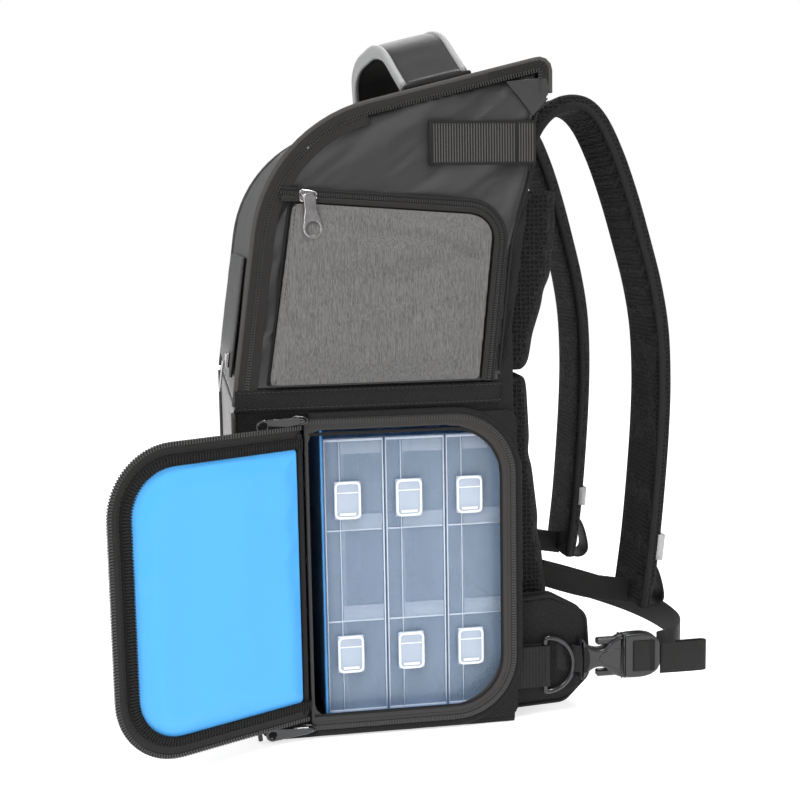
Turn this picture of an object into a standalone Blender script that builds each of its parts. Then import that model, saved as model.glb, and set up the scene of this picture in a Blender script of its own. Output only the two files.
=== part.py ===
"""Tackle backpack: a soft-sided pack with a clamshell lid, a side bay for upright tackle
boxes behind a zipped door, padded shoulder straps and a buckled hip belt.

Metres. +Z is up, the front of the pack faces -Y, the back panel and the straps face +Y, and the
open tackle bay faces +X. The origin is on the floor, under the middle of the base.
"""

import math

import bmesh
import bpy
from mathutils import Matrix, Vector

# ---- driving dimensions ----

clearance = 0.0003  # between pieces that touch

# bag
bag_width = 0.300
bag_height = 0.493
front_at_base = -0.106
front_at_middle = -0.118
front_lean = 0.028  # how far the upper front leans back over its height
panel = 0.003  # stiffened fabric wall
top_slope = math.radians(13.7)
shoulder_radius = 0.110  # of the curve from the front to the top
rear_peak_radius = 0.010
rear_peak = 0.028  # the top overhangs the bay's rear by this much
rear_neck = 0.014  # and the neck below it by this much
peak_height = 0.030

# tackle boxes and their bay
box_count = 3
box_thickness = 0.045
box_height = 0.208
box_depth = 0.145
box_wall = 0.0016
box_lid_thickness = 0.0115
box_play = 0.0005
box_setback = 0.010  # of the box fronts behind the side panel's outer face
latch_height = 0.028
latch_width = 0.0196
latch_thickness = 0.0034
latch_spacing = 0.1163
latch_inset = 0.0077
bay_front = -0.055
bay_floor = 0.0132
bay_headroom = 0.0085
lining = 0.002

# hem around the bay's mouth
hem_thickness = 0.0015
hem_front = -0.069
hem_rear = 0.0754
hem_bottom = 0.0175
hem_border = 0.013
hem_hinge_side = 0.004  # the hem is narrow where the door hinges
hem_corner = 0.048
small_corner = 0.008
mouth_corner = 0.003  # of the side panel's cut, clear of the boxes

# doors
door_thickness = 0.0029
door_lining_thickness = 0.0012
door_binding = 0.0055  # bare edge of the panel around its lining
door_tape = 0.009
door_tape_thickness = 0.0012
door_open = math.radians(152)

# lid
lid_flange = 0.008
lid_wall = 0.005
hinge_height = 0.248

# carry handle
handle_width = 0.050
handle_thickness = 0.007
handle_span = 0.250
handle_rise = 0.042
handle_centre = 0.036

# side pockets
pocket_bottom = 0.263
pocket_height = 0.128
pocket_thickness = 0.005
pocket_slider_start = -0.061
front_pocket_width = 0.210
front_pocket_thickness = 0.003

# main zip, on the far side
main_slider_y = -0.005

# load tabs, hip fins and rings
tab_thickness = 0.0022
tab_height = 0.031
tab_length = 0.076
fin_thickness = 0.014
fin_inner = 0.127
ring_wire = 0.0021
ring_height = 0.042
webbing = 0.0015

# shoulder straps
strap_width = 0.066
strap_thickness = 0.014
strap_inner = 0.052

# belt
belt_width = 0.024
adjuster_width = 0.020
belt_height = 0.045
buckle_thickness = 0.011
buckle_width = 0.035
socket_length = 0.034
plug_length = 0.030

# ---- derived places ----

half_width = bag_width / 2
inner_width = half_width - panel - clearance
box_pitch = box_thickness + box_play
bay_rear = bay_front + box_count * box_pitch + box_play
bay_top = bay_floor + clearance + box_height + bay_headroom
box_face = half_width - box_setback
bay_inner = box_face - box_depth - 0.0015
shelf_bottom = bay_top + lining + clearance
back_inner = bay_rear + lining + clearance
back_face = back_inner + panel
back_neck = back_face + rear_neck
back_peak = back_face + rear_peak
neck_top = bag_height - peak_height - 0.014
hinge_y = front_at_middle - clearance
top_front_height = bag_height - (back_peak - front_at_middle - front_lean) * math.tan(top_slope)


# ---- collections, materials and small helpers ----

for old in list(bpy.data.objects):
    bpy.data.objects.remove(old, do_unlink=True)

parts = bpy.data.collections.new("tackle_backpack")
cutters = bpy.data.collections.new("cutters")
bpy.context.scene.collection.children.link(parts)
bpy.context.scene.collection.children.link(cutters)


def new_material(name, colour, roughness, metallic=0.0, alpha=1.0):
    material = bpy.data.materials.new(name)
    material.use_nodes = True
    shader = material.node_tree.nodes["Principled BSDF"]
    shader.inputs["Base Color"].default_value = (*colour, 1.0)
    shader.inputs["Roughness"].default_value = roughness
    shader.inputs["Metallic"].default_value = metallic
    shader.inputs["Alpha"].default_value = alpha
    material.diffuse_color = (*colour, alpha)
    return material


coated = new_material("coated_fabric", (0.045, 0.043, 0.043), 0.45)
ballistic = new_material("ballistic_nylon", (0.015, 0.014, 0.014), 0.75)
heather = new_material("heather_fabric", (0.19, 0.18, 0.175), 0.85)
blue = new_material("blue_lining", (0.10, 0.50, 0.92), 0.70)
ribbed = new_material("ribbed_webbing", (0.035, 0.032, 0.031), 0.70)
mesh_foam = new_material("air_mesh", (0.012, 0.012, 0.012), 0.90)
binding = new_material("binding", (0.02, 0.02, 0.02), 0.60)
clear = new_material("clear_plastic", (0.80, 0.88, 0.95), 0.12, alpha=0.35)
moulded = new_material("moulded_plastic", (0.03, 0.03, 0.03), 0.35)
gunmetal = new_material("gunmetal", (0.35, 0.35, 0.36), 0.30, metallic=1.0)
black_metal = new_material("black_metal", (0.03, 0.03, 0.03), 0.30, metallic=1.0)


def add(name, mesh, material):
    piece = bpy.data.objects.new(name, mesh)
    parts.objects.link(piece)
    if material:
        mesh.materials.clear()
        mesh.materials.append(material)
    return piece


def block(name, low, high, material, edge=0.0, segments=1):
    """A box between two corners, with its edges rounded by edge."""
    low, high = Vector(low), Vector(high)
    mesh = bpy.data.meshes.new(name)
    shape = bmesh.new()
    bmesh.ops.create_cube(shape, size=1.0, matrix=Matrix.Diagonal((*(high - low), 1.0)))
    shape.to_mesh(mesh)
    shape.free()
    piece = add(name, mesh, material)
    piece.location = (low + high) / 2
    if edge:
        bevel(piece, edge, segments)
    return piece


def bevel(piece, width, segments=1):
    rounding = piece.modifiers.new("edges", "BEVEL")
    rounding.width = width
    rounding.segments = segments
    rounding.limit_method = "ANGLE"
    rounding.angle_limit = math.radians(50)


def as_mesh(curve, name, material):
    """A closed mesh object in place of a curve object."""
    bpy.context.view_layer.update()
    seen = curve.evaluated_get(bpy.context.evaluated_depsgraph_get())
    mesh = bpy.data.meshes.new_from_object(seen)
    mesh.name = name
    shape = bmesh.new()
    shape.from_mesh(mesh)
    bmesh.ops.remove_doubles(shape, verts=shape.verts, dist=0.00001)
    bmesh.ops.recalc_face_normals(shape, faces=shape.faces)
    shape.to_mesh(mesh)
    shape.free()
    place = curve.matrix_world.copy()
    bpy.data.objects.remove(curve, do_unlink=True)
    piece = add(name, mesh, material)
    piece.matrix_world = place
    return piece


# how an outline's own plane stands in the pack: across X, across Y or across Z
facing = {
    "X": Matrix(((0, 0, 1), (1, 0, 0), (0, 1, 0))).to_4x4(),
    "Y": Matrix(((1, 0, 0), (0, 0, -1), (0, 1, 0))).to_4x4(),
    "Z": Matrix.Identity(4),
}


def extruded(name, outlines, axis, low, high, material):
    """Closed outlines, the first one outermost, extruded along an axis between low and high."""
    curve = bpy.data.curves.new(name, "CURVE")
    curve.dimensions = "2D"
    curve.fill_mode = "BOTH"
    curve.extrude = (high - low) / 2
    for outline in outlines:
        spline = curve.splines.new("POLY")
        spline.points.add(len(outline) - 1)
        for point, (a, b) in zip(spline.points, outline):
            point.co = (a, b, 0.0, 1.0)
        spline.use_cyclic_u = True
    flat = bpy.data.objects.new(name + "_outline", curve)
    parts.objects.link(flat)
    middle = (low + high) / 2
    shift = {"X": (middle, 0, 0), "Y": (0, middle, 0), "Z": (0, 0, middle)}[axis]
    flat.matrix_world = Matrix.Translation(shift) @ facing[axis]
    return as_mesh(flat, name, material)


def wire(name, points, radius, material, closed=False):
    """A round wire through points, with filled ends."""
    curve = bpy.data.curves.new(name, "CURVE")
    curve.dimensions = "3D"
    curve.bevel_depth = radius
    curve.bevel_resolution = 2
    curve.use_fill_caps = True
    spline = curve.splines.new("POLY")
    spline.points.add(len(points) - 1)
    for point, place in zip(spline.points, points):
        point.co = (*place, 1.0)
    spline.use_cyclic_u = closed
    tube = bpy.data.objects.new(name + "_path", curve)
    parts.objects.link(tube)
    return as_mesh(tube, name, material)


def cut(piece, cutter):
    """Take cutter out of piece."""
    for group in list(cutter.users_collection):
        group.objects.unlink(cutter)
    cutters.objects.link(cutter)
    cutter.hide_render = True
    cutter.display_type = "WIRE"
    taken = piece.modifiers.new("cut", "BOOLEAN")
    taken.operation = "DIFFERENCE"
    taken.object = cutter


def join(piece, other):
    """Fuse other into piece; other then only guides the shape."""
    cut(piece, other)
    piece.modifiers[-1].operation = "UNION"


def rounded(corners, steps=5):
    """The closed outline through (a, b, radius) corners, with arcs at the round ones."""
    outline = []
    for i, (a, b, radius) in enumerate(corners):
        here = Vector((a, b))
        back = Vector(corners[i - 1][:2]) - here
        ahead = Vector(corners[(i + 1) % len(corners)][:2]) - here
        if not radius:
            outline.append(tuple(here))
            continue
        back.normalize()
        ahead.normalize()
        half = back.angle(ahead) / 2
        centre = here + (back + ahead).normalized() * radius / math.sin(half)
        first = here + back * radius / math.tan(half) - centre
        last = here + ahead * radius / math.tan(half) - centre
        turn = math.atan2(first.cross(last), first.dot(last))
        for k in range(steps + 1):
            outline.append(tuple(centre + Matrix.Rotation(turn * k / steps, 2) @ first))
    return outline


def rectangle(a0, b0, a1, b1, radius=0.0, steps=5):
    return rounded([(a0, b0, radius), (a1, b0, radius), (a1, b1, radius), (a0, b1, radius)], steps)


def inset(outline, distance):
    """A counter-clockwise closed outline moved inwards by distance (outwards if negative)."""
    moved = []
    for i, point in enumerate(outline):
        here = Vector(point)
        before = (here - Vector(outline[i - 1])).normalized()
        after = (Vector(outline[(i + 1) % len(outline)]) - here).normalized()
        inward = Vector((-before.y - after.y, before.x + after.x)).normalized()
        slant = inward.dot(Vector((-after.y, after.x)))
        moved.append(tuple(here + inward * distance / slant))
    return moved


def smooth(points, steps=4):
    """An open curve through all of the points."""
    ends = [2 * Vector(points[0]) - Vector(points[1])]
    ends += [Vector(point) for point in points]
    ends.append(2 * Vector(points[-1]) - Vector(points[-2]))
    curve = []
    for a, b, c, d in zip(ends, ends[1:], ends[2:], ends[3:]):
        for k in range(steps):
            t = k / steps
            bend = 2 * b + (c - a) * t + (2 * a - 5 * b + 4 * c - d) * t**2
            curve.append((bend + (3 * b - a - 3 * c + d) * t**3) / 2)
    curve.append(Vector(points[-1]))
    return curve


def ribbon(path, thickness):
    """The closed outline of a band that follows path, half of its thickness on each side."""
    left, right = [], []
    for i, point in enumerate(path):
        along = (path[min(i + 1, len(path) - 1)] - path[max(i - 1, 0)]).normalized()
        side = Vector((-along.y, along.x)) * thickness / 2
        left.append(tuple(point + side))
        right.append(tuple(point - side))
    return right + left[::-1]


def pivot(name, place, turn=None):
    """An empty on a joint's axis, and a function that hangs pieces on it as they are built."""
    empty = bpy.data.objects.new(name, None)
    parts.objects.link(empty)
    empty.matrix_world = Matrix.Translation(place) @ (turn or Matrix.Identity(4))

    def hang(*pieces):
        for piece in pieces:
            piece.parent = empty
            piece.matrix_parent_inverse = Matrix.Translation(place).inverted()

    return hang


# ---- bag ----


def bag_outline():
    """The side of the bag, front to back, counter-clockwise from the base's front corner."""
    upper_front = front_at_middle + front_lean
    return rounded(
        [
            (front_at_base, 0.0, 0.012),
            (back_face, 0.0, 0.0),
            (back_face, shelf_bottom + 0.066, 0.0),
            (back_neck, neck_top - 0.040, 0.0),
            (back_neck, neck_top, 0.0),
            (back_peak, neck_top + 0.014, 0.0),
            (back_peak, bag_height, rear_peak_radius),
            (upper_front, top_front_height, shoulder_radius),
            (front_at_middle, hinge_height, 0.0),
            (front_at_middle, 0.120, 0.0),
        ],
        steps=8,
    )


def lid_region(grow):
    """The part of the side view that the lid takes, grown by grow at its hinge and rear ends."""
    lift = hinge_height - grow
    return [
        (front_at_middle - 0.03, lift),
        (front_at_middle + 0.03, lift),
        (back_peak - 0.06, neck_top + 0.014 - grow),
        (back_peak + 0.03, neck_top + 0.014 - grow),
        (back_peak + 0.03, bag_height + 0.03),
        (front_at_middle - 0.03, bag_height + 0.03),
    ]


def lid_band(name, low, high, depth, grow):
    """The lid's side view, depth thick, between two planes across X."""
    region = extruded(name, [lid_region(grow)], "X", low, high, coated)
    core = extruded(name + "_core", [inset(bag_outline(), depth)], "X", low - 0.01, high + 0.01, None)
    outer = extruded(name + "_outer", [bag_outline()], "X", low - 0.01, high + 0.01, None)
    cut(region, core)
    cut(region, outer)
    region.modifiers[-1].operation = "INTERSECT"
    return region


def build_bag():
    mouth = rectangle(
        hem_front - 0.002, bay_floor - 0.001, bay_rear + 0.0005, bay_top - clearance, mouth_corner, 3
    )
    for side, low, high in (
        ("near", half_width - panel, half_width),
        ("far", -half_width, panel - half_width),
    ):
        wall = extruded("side_panel_" + side, [bag_outline()], "X", low, high, coated)
        cut(wall, lid_band("lid_cut_" + side, low - 0.005, high + 0.005, lid_flange + clearance, clearance))
        cut(wall, extruded("mouth_" + side, [mouth], "X", low - 0.01, high + 0.01, None))

    block(
        "base_panel",
        (-inner_width, front_at_base + 0.012, 0.0),
        (inner_width, back_inner - clearance, bay_floor - lining - clearance),
        ballistic,
    )
    front = extruded("lower_front_panel", [bag_outline()], "X", -inner_width, inner_width, coated)
    inner = inset(bag_outline(), panel)
    cut(front, extruded("front_hollow", [inner], "X", -half_width, half_width, None))
    keep = [
        (front_at_middle - 0.02, 0.0),
        (front_at_base + 0.012 - clearance, 0.0),
        (front_at_base + 0.012 - clearance, hinge_height - clearance),
        (front_at_middle - 0.02, hinge_height - clearance),
    ]
    cut(front, extruded("front_region", [keep], "X", -half_width, half_width, None))
    front.modifiers[-1].operation = "INTERSECT"

    spine = [
        (back_face, 0.0),
        (back_face, shelf_bottom + 0.066),
        (back_neck, neck_top - 0.040),
        (back_neck, neck_top),
        (back_peak, neck_top + 0.014),
        (back_peak - panel, neck_top + 0.014),
        (back_neck - panel, neck_top),
        (back_neck - panel, neck_top - 0.040),
        (back_inner, shelf_bottom + 0.066),
        (back_inner, 0.0),
    ]
    extruded("back_panel", [spine], "X", -inner_width, inner_width, coated)
    block(
        "compartment_floor",
        (-inner_width, front_at_middle + panel + clearance, shelf_bottom),
        (inner_width, back_inner - clearance, shelf_bottom + panel),
        ballistic,
    )
    tray = block(
        "bay_lining",
        (bay_inner - lining, bay_front - lining, bay_floor - lining),
        (inner_width, bay_rear + lining, bay_top + lining),
        blue,
    )
    cut(
        tray,
        block("bay_hollow", (bay_inner, bay_front, bay_floor), (half_width + 0.01, bay_rear, bay_top), None),
    )


def build_lid():
    hang = pivot("lid_hinge", (0.0, hinge_y, hinge_height))
    shell = lid_band("lid_shell", -half_width, half_width, lid_flange, 0.0)
    room = inset(bag_outline(), lid_wall)
    hollow = extruded("lid_hollow", [room], "X", -inner_width, inner_width, None)
    cut(shell, hollow)
    lean = math.atan2(front_lean, top_front_height - hinge_height)
    stand = Matrix.Translation((0.0, front_at_middle, hinge_height)) @ Matrix.Rotation(-lean, 4, "X")
    side = front_pocket_width / 2
    outer = -front_pocket_thickness
    pocket = block("front_pocket", (-side, outer, 0.016), (side, -clearance, 0.106), coated, edge=0.001)
    nose = outer - clearance
    runner = block(
        "front_slider", (side - 0.020, nose - 0.0036, 0.022), (side - 0.011, nose, 0.034), gunmetal, edge=0.001
    )
    hang(shell, stood(pocket, stand), stood(runner, stand))
    hang(build_handle())
    tag = block(
        "front_pull",
        (side - 0.0195, nose - 0.0055, 0.004),
        (side - 0.0115, nose - 0.0039, 0.028),
        gunmetal,
        edge=0.0006,
    )
    pivot("front_pull_hinge", stand @ Vector((side - 0.0155, nose - 0.0047, 0.027)))(stood(tag, stand))


def stood(piece, stand):
    """Place a piece that was modelled upright on the leaning front."""
    piece.matrix_world = stand @ Matrix.Translation(piece.location)
    return piece


def build_handle():
    """A padded strap that arches over the top, square to the lid's slope."""
    foot = handle_span / 2
    arch = [
        (-foot, 0.0035),
        (-foot * 0.86, 0.016),
        (-foot * 0.66, handle_rise * 0.78),
        (-foot * 0.36, handle_rise * 0.97),
        (0.0, handle_rise),
        (foot * 0.36, handle_rise * 0.97),
        (foot * 0.66, handle_rise * 0.78),
        (foot * 0.86, 0.016),
        (foot, 0.0035),
    ]
    outline = ribbon(smooth(arch, 3), handle_thickness - 0.001)
    handle = extruded("carry_handle", [outline], "Y", -handle_width / 2, handle_width / 2, coated)
    feet = bag_height - (back_peak - handle_centre) * math.tan(top_slope) + clearance
    for side in (-1, 1):
        sole = block(
            f"handle_foot_{side}",
            (side * foot - 0.012, -handle_width / 2, 0.0),
            (side * foot + 0.012, handle_width / 2, 0.0042),
            None,
        )
        join(handle, sole)
        sole.matrix_world = (
            Matrix.Translation((0.0, handle_centre, feet))
            @ Matrix.Rotation(top_slope, 4, "X")
            @ Matrix.Translation(sole.location)
        )
    handle.matrix_world = (
        Matrix.Translation((0.0, handle_centre, feet))
        @ Matrix.Rotation(top_slope, 4, "X")
        @ handle.matrix_world
    )
    return handle


# ---- doors and the hem around the bay's mouth ----


def door_outline(grow=0.0, hinge_inset=0.0):
    """A closed door in the side view, its free corners matching the hem's."""
    low = (hem_front - 0.001 + hinge_inset, hem_bottom + 0.007)
    high = (hem_rear - 0.004, bay_top - 0.006)
    corner = hem_corner - 0.009 + grow
    return rounded(
        [
            (low[0], low[1] - grow, 0.004),
            (high[0] + grow, low[1] - grow, corner),
            (high[0] + grow, high[1] + grow, corner),
            (low[0], high[1] + grow, 0.004),
        ],
        steps=6,
    )


def build_doors():
    hem_face = half_width + clearance + hem_thickness
    axis_x = hem_face + door_lining_thickness + clearance
    skin_low = axis_x + 0.0001
    skin_high = skin_low + door_thickness
    axis_y = hem_front - 0.0015
    hang = pivot("door_hinge", (axis_x, axis_y, 0.0), Matrix.Rotation(-door_open, 4, "Z"))
    skin = extruded("door_panel", [door_outline()], "X", skin_low, skin_high, coated)
    inside = extruded(
        "door_lining",
        [door_outline(-door_binding, door_binding)],
        "X",
        hem_face + 0.0002,
        hem_face + 0.0002 + door_lining_thickness - 0.0001,
        blue,
    )
    tape = extruded(
        "door_zip_tape", [door_outline(door_tape)], "X", skin_low, skin_low + door_tape_thickness, binding
    )
    hollow = extruded(
        "tape_hollow", [door_outline(clearance, -0.010)], "X", skin_low - 0.01, skin_high + 0.01, None
    )
    cut(tape, hollow)
    hang(skin, inside, tape, hollow)

    far_low = half_width + clearance
    far_high = far_low + door_thickness
    hang_far = pivot("far_door_hinge", (-far_high - clearance, axis_y, 0.0))
    hang_far(extruded("far_door_panel", [door_outline(door_tape)], "X", -far_high, -far_low, coated))

    rear = hem_rear + hem_border
    top = bay_top + hem_border - 0.004
    hem_outer = rounded(
        [
            (hem_front, 0.005, 0.001),
            (rear, 0.005, small_corner),
            (rear, top, small_corner),
            (hem_front, top, 0.001),
        ],
        steps=6,
    )
    hem_inner = rounded(
        [
            (hem_front + hem_hinge_side, hem_bottom, small_corner),
            (hem_rear, hem_bottom, hem_corner - 0.008),
            (hem_rear, bay_top - 0.001, hem_corner - 0.008),
            (hem_front + hem_hinge_side, bay_top - 0.001, small_corner),
        ],
        steps=6,
    )
    extruded(
        "mouth_hem",
        [hem_outer, hem_inner],
        "X",
        half_width + clearance,
        half_width + clearance + hem_thickness,
        binding,
    )


# ---- tackle boxes ----


def build_tackle_box(number):
    """One box standing on edge: a lid towards the front, a divided tray behind it, two latches."""
    front = bay_front + box_play + (number - 1) * box_pitch
    bottom = bay_floor + clearance
    top = bottom + box_height
    deep = box_face - box_depth
    seam = front + box_lid_thickness
    name = f"tackle_box_{number}"
    hang = pivot(name + "_slide", (box_face, front + box_thickness / 2, bottom))

    lid = block(name + "_lid", (deep, front, bottom), (box_face, seam, top), clear)
    cut(
        lid,
        block(
            name + "_lid_hollow",
            (deep + box_wall, front + box_wall, bottom + box_wall),
            (box_face - box_wall, seam + 0.01, top - box_wall),
            None,
        ),
    )
    tray = block(
        name + "_tray",
        (deep, seam + clearance, bottom),
        (box_face, front + box_thickness, top),
        clear,
    )
    cell = (box_height - box_wall) / 3
    for k in range(3):
        cut(
            tray,
            block(
                f"{name}_cell_{k}",
                (deep + box_wall, seam - 0.01, bottom + box_wall + k * cell),
                (box_face - box_wall, front + box_thickness - box_wall, bottom + (k + 1) * cell),
                None,
            ),
        )
    hang(lid, tray)

    middle = (bottom + top) / 2
    hinge_x = box_face + clearance + latch_thickness / 2
    for place, side in (("upper", 1), ("lower", -1)):
        height = middle + side * latch_spacing / 2
        latch = block(
            f"{name}_latch_{place}",
            (box_face + clearance, front + latch_inset, height - latch_height / 2),
            (
                box_face + clearance + latch_thickness,
                front + latch_inset + latch_width,
                height + latch_height / 2,
            ),
            clear,
            edge=0.0008,
        )
        pivot(f"{name}_latch_{place}_hinge", (hinge_x, front + latch_inset + 0.0012, height))(latch)


# ---- pockets, tabs, sliders and pulls ----


def build_side_pocket(side, sign):
    """A flat, empty pocket: its layers lie together."""
    top = pocket_bottom + pocket_height
    outline = rounded(
        [
            (-0.092, pocket_bottom, 0.003),
            (0.060, pocket_bottom, 0.003),
            (0.072, top, 0.016),
            (-0.072, top, 0.006),
        ]
    )
    faces = sorted((sign * (half_width + clearance), sign * (half_width + clearance + pocket_thickness)))
    pocket = extruded("side_pocket_" + side, [outline], "X", *faces, heather)
    bevel(pocket, 0.0015)


def slider(name, seat, out, length, width, height, material):
    """A zip slider whose underside is centred on seat and which stands out along X by out."""
    x, y, z = seat
    faces = sorted((x, x + out * height))
    return block(
        name,
        (faces[0], y - length / 2, z - width / 2),
        (faces[1], y + length / 2, z + width / 2),
        material,
        edge=0.001,
    )


def pull(name, place, reach, width, thickness, material):
    """A flat pull from place to place + reach (across X), with a hole near its free end."""
    x, y, z = place
    along = Vector(reach)
    length = along.length
    along.normalize()
    side = Vector((-along.y, along.x))
    hole = width * 0.22

    def spot(far, across):
        return tuple(Vector((y, z)) + along * far + side * across)

    half = width / 2
    sides = [(0, -half), (length, -half), (length, half), (0, half)]
    eye = [(length - width * 0.85 + dx, dy) for dx, dy in ((0, -hole), (2 * hole, -hole), (2 * hole, hole), (0, hole))]
    tag = extruded(
        name,
        [
            rounded([(*spot(far, across), width * 0.3) for far, across in sides], 4),
            rounded([(*spot(far, across), hole * 0.9) for far, across in eye], 3),
        ],
        "X",
        x - thickness / 2,
        x + thickness / 2,
        material,
    )
    pivot(name + "_hinge", place)(tag)


def build_sliders():
    height = 0.0036
    tag = 0.0016
    lift = height + clearance + tag / 2
    runner = 0.009
    top = pocket_bottom + pocket_height + clearance + runner / 2
    face = half_width + clearance
    deep = pocket_thickness + 0.0015
    hang = pivot("pocket_slider_track", (face, pocket_slider_start, top))
    hang(slider("pocket_slider", (face, pocket_slider_start, top), 1, 0.013, runner, deep, gunmetal))
    hinge = (face + deep + clearance + tag / 2, pocket_slider_start, top + 0.002)
    pull("pocket_pull", hinge, (0.0, -0.032), 0.013, tag, gunmetal)

    hem_face = half_width + hem_thickness + 2 * clearance
    across = hem_front - 0.002
    for place, z in (("upper", bay_top + 0.0075), ("lower", 0.0085)):
        slider("bay_slider_" + place, (hem_face, across, z), 1, 0.012, 0.007, height, moulded)
        pull("bay_pull_" + place, (hem_face + lift, across, z), (-0.032, 0.0), 0.007, tag, moulded)

    far_face = -half_width - clearance
    z = bag_height - (back_peak - main_slider_y) * math.tan(top_slope) - lid_flange
    slider("main_slider", (far_face, main_slider_y, z), -1, 0.013, 0.009, height, gunmetal)
    pull("main_pull", (far_face - lift, main_slider_y, z), (0.0, -0.032), 0.012, tag, gunmetal)


def build_load_tab(side, sign):
    """Ribbed webbing stitched along the upper side and around the rear corner."""
    low = neck_top - tab_height - 0.002
    out = half_width + clearance
    start = back_neck - tab_length
    corner = back_neck + clearance
    outline = [
        (sign * out, start),
        (sign * (out + tab_thickness), start),
        (sign * (out + tab_thickness), corner + tab_thickness),
        (sign * (strap_inner + strap_width + 0.002), corner + tab_thickness),
        (sign * (strap_inner + strap_width + 0.002), corner),
        (sign * out, corner),
    ]
    if sign < 0:
        outline.reverse()
    extruded("load_tab_" + side, [outline], "Z", low, low + tab_height, ribbed)


def strap_path(reach):
    """A shoulder strap in the side view, from its root on the neck down to its free end."""
    root = Vector((back_neck + strap_thickness / 2 - 0.0001, neck_top - 0.016))
    falls = [
        (0.0, 0.0),
        (0.008, 0.014),
        (0.018, 0.024),
        (0.031, 0.030),
        (0.045, 0.028),
        (0.057, 0.016),
        (0.069, -0.008),
        (0.080, -0.038),
        (0.090, -0.071),
        (0.100, -0.108),
        (0.106, -0.143),
        (0.108, -0.183),
        (0.107, -0.223),
        (0.104, -0.268),
        (0.100, -0.313),
        (0.096, -0.345),
    ]
    return [root + Vector((a * reach, b)) for a, b in falls]


def build_strap(side, sign, reach):
    path = strap_path(reach)
    faces = sorted((sign * strap_inner, sign * (strap_inner + strap_width)))
    root = path[0]
    hang = pivot("shoulder_strap_" + side + "_root", (0.0, root.x, root.y))
    strap = extruded(
        "shoulder_strap_" + side, [ribbon(smooth(path, 3), strap_thickness)], "X", *faces, mesh_foam
    )
    hang(strap)
    end = path[-1] - Vector((0.002, adjuster_width / 2 + 0.0012))
    start = Vector((back_face + 0.0370, end.y + 0.020))
    line = [start, start.lerp(end, 0.5) + Vector((0.0, -0.003)), end]
    band = ribbon(smooth(line, 4), adjuster_width)
    edge = sign * (strap_inner + strap_width / 2)
    extruded("lower_webbing_" + side, [band], "X", *sorted((edge, edge + sign * webbing)), ribbed)


def build_back_pads():
    lumbar = shelf_bottom + 0.030
    upper = rounded(
        [
            (back_face + clearance, lumbar + 0.002, 0.0),
            (back_face + 0.019, lumbar + 0.002, 0.004),
            (back_face + 0.023, lumbar + 0.028, 0.0),
            (back_face + 0.037, lumbar + 0.072, 0.0),
            (back_face + 0.042, lumbar + 0.120, 0.0),
            (back_face + 0.043, lumbar + 0.136, 0.004),
            (back_neck + clearance, lumbar + 0.136, 0.0),
            (back_neck + clearance, neck_top - 0.040, 0.0),
            (back_face + clearance, shelf_bottom + 0.066, 0.0),
        ],
        steps=4,
    )
    extruded("back_pad_upper", [upper], "X", -0.124, 0.124, mesh_foam)
    lower = rounded(
        [
            (back_face + clearance, 0.012, 0.0),
            (back_face + 0.026, 0.012, 0.010),
            (back_face + 0.033, 0.090, 0.0),
            (back_face + 0.027, 0.148, 0.0),
            (back_face + 0.021, 0.200, 0.0),
            (back_face + 0.018, lumbar - 0.002, 0.004),
            (back_face + clearance, lumbar - 0.002, 0.0),
        ],
        steps=4,
    )
    extruded("back_pad_lower", [lower], "X", -0.124, 0.124, mesh_foam)


def build_hip_belt():
    fin = rounded(
        [
            (back_face + clearance, 0.008, 0.0),
            (back_face + 0.040, 0.010, 0.012),
            (back_face + 0.060, 0.030, 0.012),
            (back_face + 0.057, 0.078, 0.012),
            (back_face + 0.030, 0.093, 0.012),
            (back_face + clearance, 0.091, 0.0),
        ],
        steps=4,
    )
    ring_bar = back_face + 0.024
    for side, sign in (("near", 1), ("far", -1)):
        faces = sorted((sign * fin_inner, sign * (fin_inner + fin_thickness)))
        wing = extruded("hip_fin_" + side, [fin], "X", *faces, ballistic)
        bevel(wing, 0.003)
        ring_x = sign * (fin_inner + fin_thickness + 0.0045)
        low = 0.041 - ring_height / 2
        build_ring(side, sign, ring_x, ring_bar, low)


def build_ring(side, sign, x, y, low):
    """A D-ring whose straight bar stands in a folded webbing tab."""
    reach = 0.021
    path = [(x, y, low), (x, y, low + ring_height)]
    for k in range(9):
        angle = math.pi / 2 - math.pi * k / 8
        path.append(
            (x, y + 0.001 + reach * math.cos(angle), low + ring_height / 2 * (1 + math.sin(angle)))
        )
    ring = wire("d_ring_" + side, path, ring_wire, black_metal, closed=True)
    pivot("d_ring_" + side + "_hinge", (x, y, low + ring_height / 2))(ring)
    outer = ring_wire + clearance + webbing
    inner = ring_wire + clearance
    seam = back_face + clearance
    fold_out = [(outer * math.sin(a), y + outer * math.cos(a)) for a in half_turn(8)]
    fold_in = [(inner * math.sin(a), y + inner * math.cos(a)) for a in half_turn(8)]
    outline = [(-outer, seam), (-inner, seam), *fold_in, (inner, seam), (outer, seam), *fold_out[::-1]]
    tab = extruded(
        "ring_tab_" + side,
        [[(x + a, b) for a, b in outline]],
        "Z",
        low + 0.005,
        low + ring_height - 0.005,
        ribbed,
    )
    return tab


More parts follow.
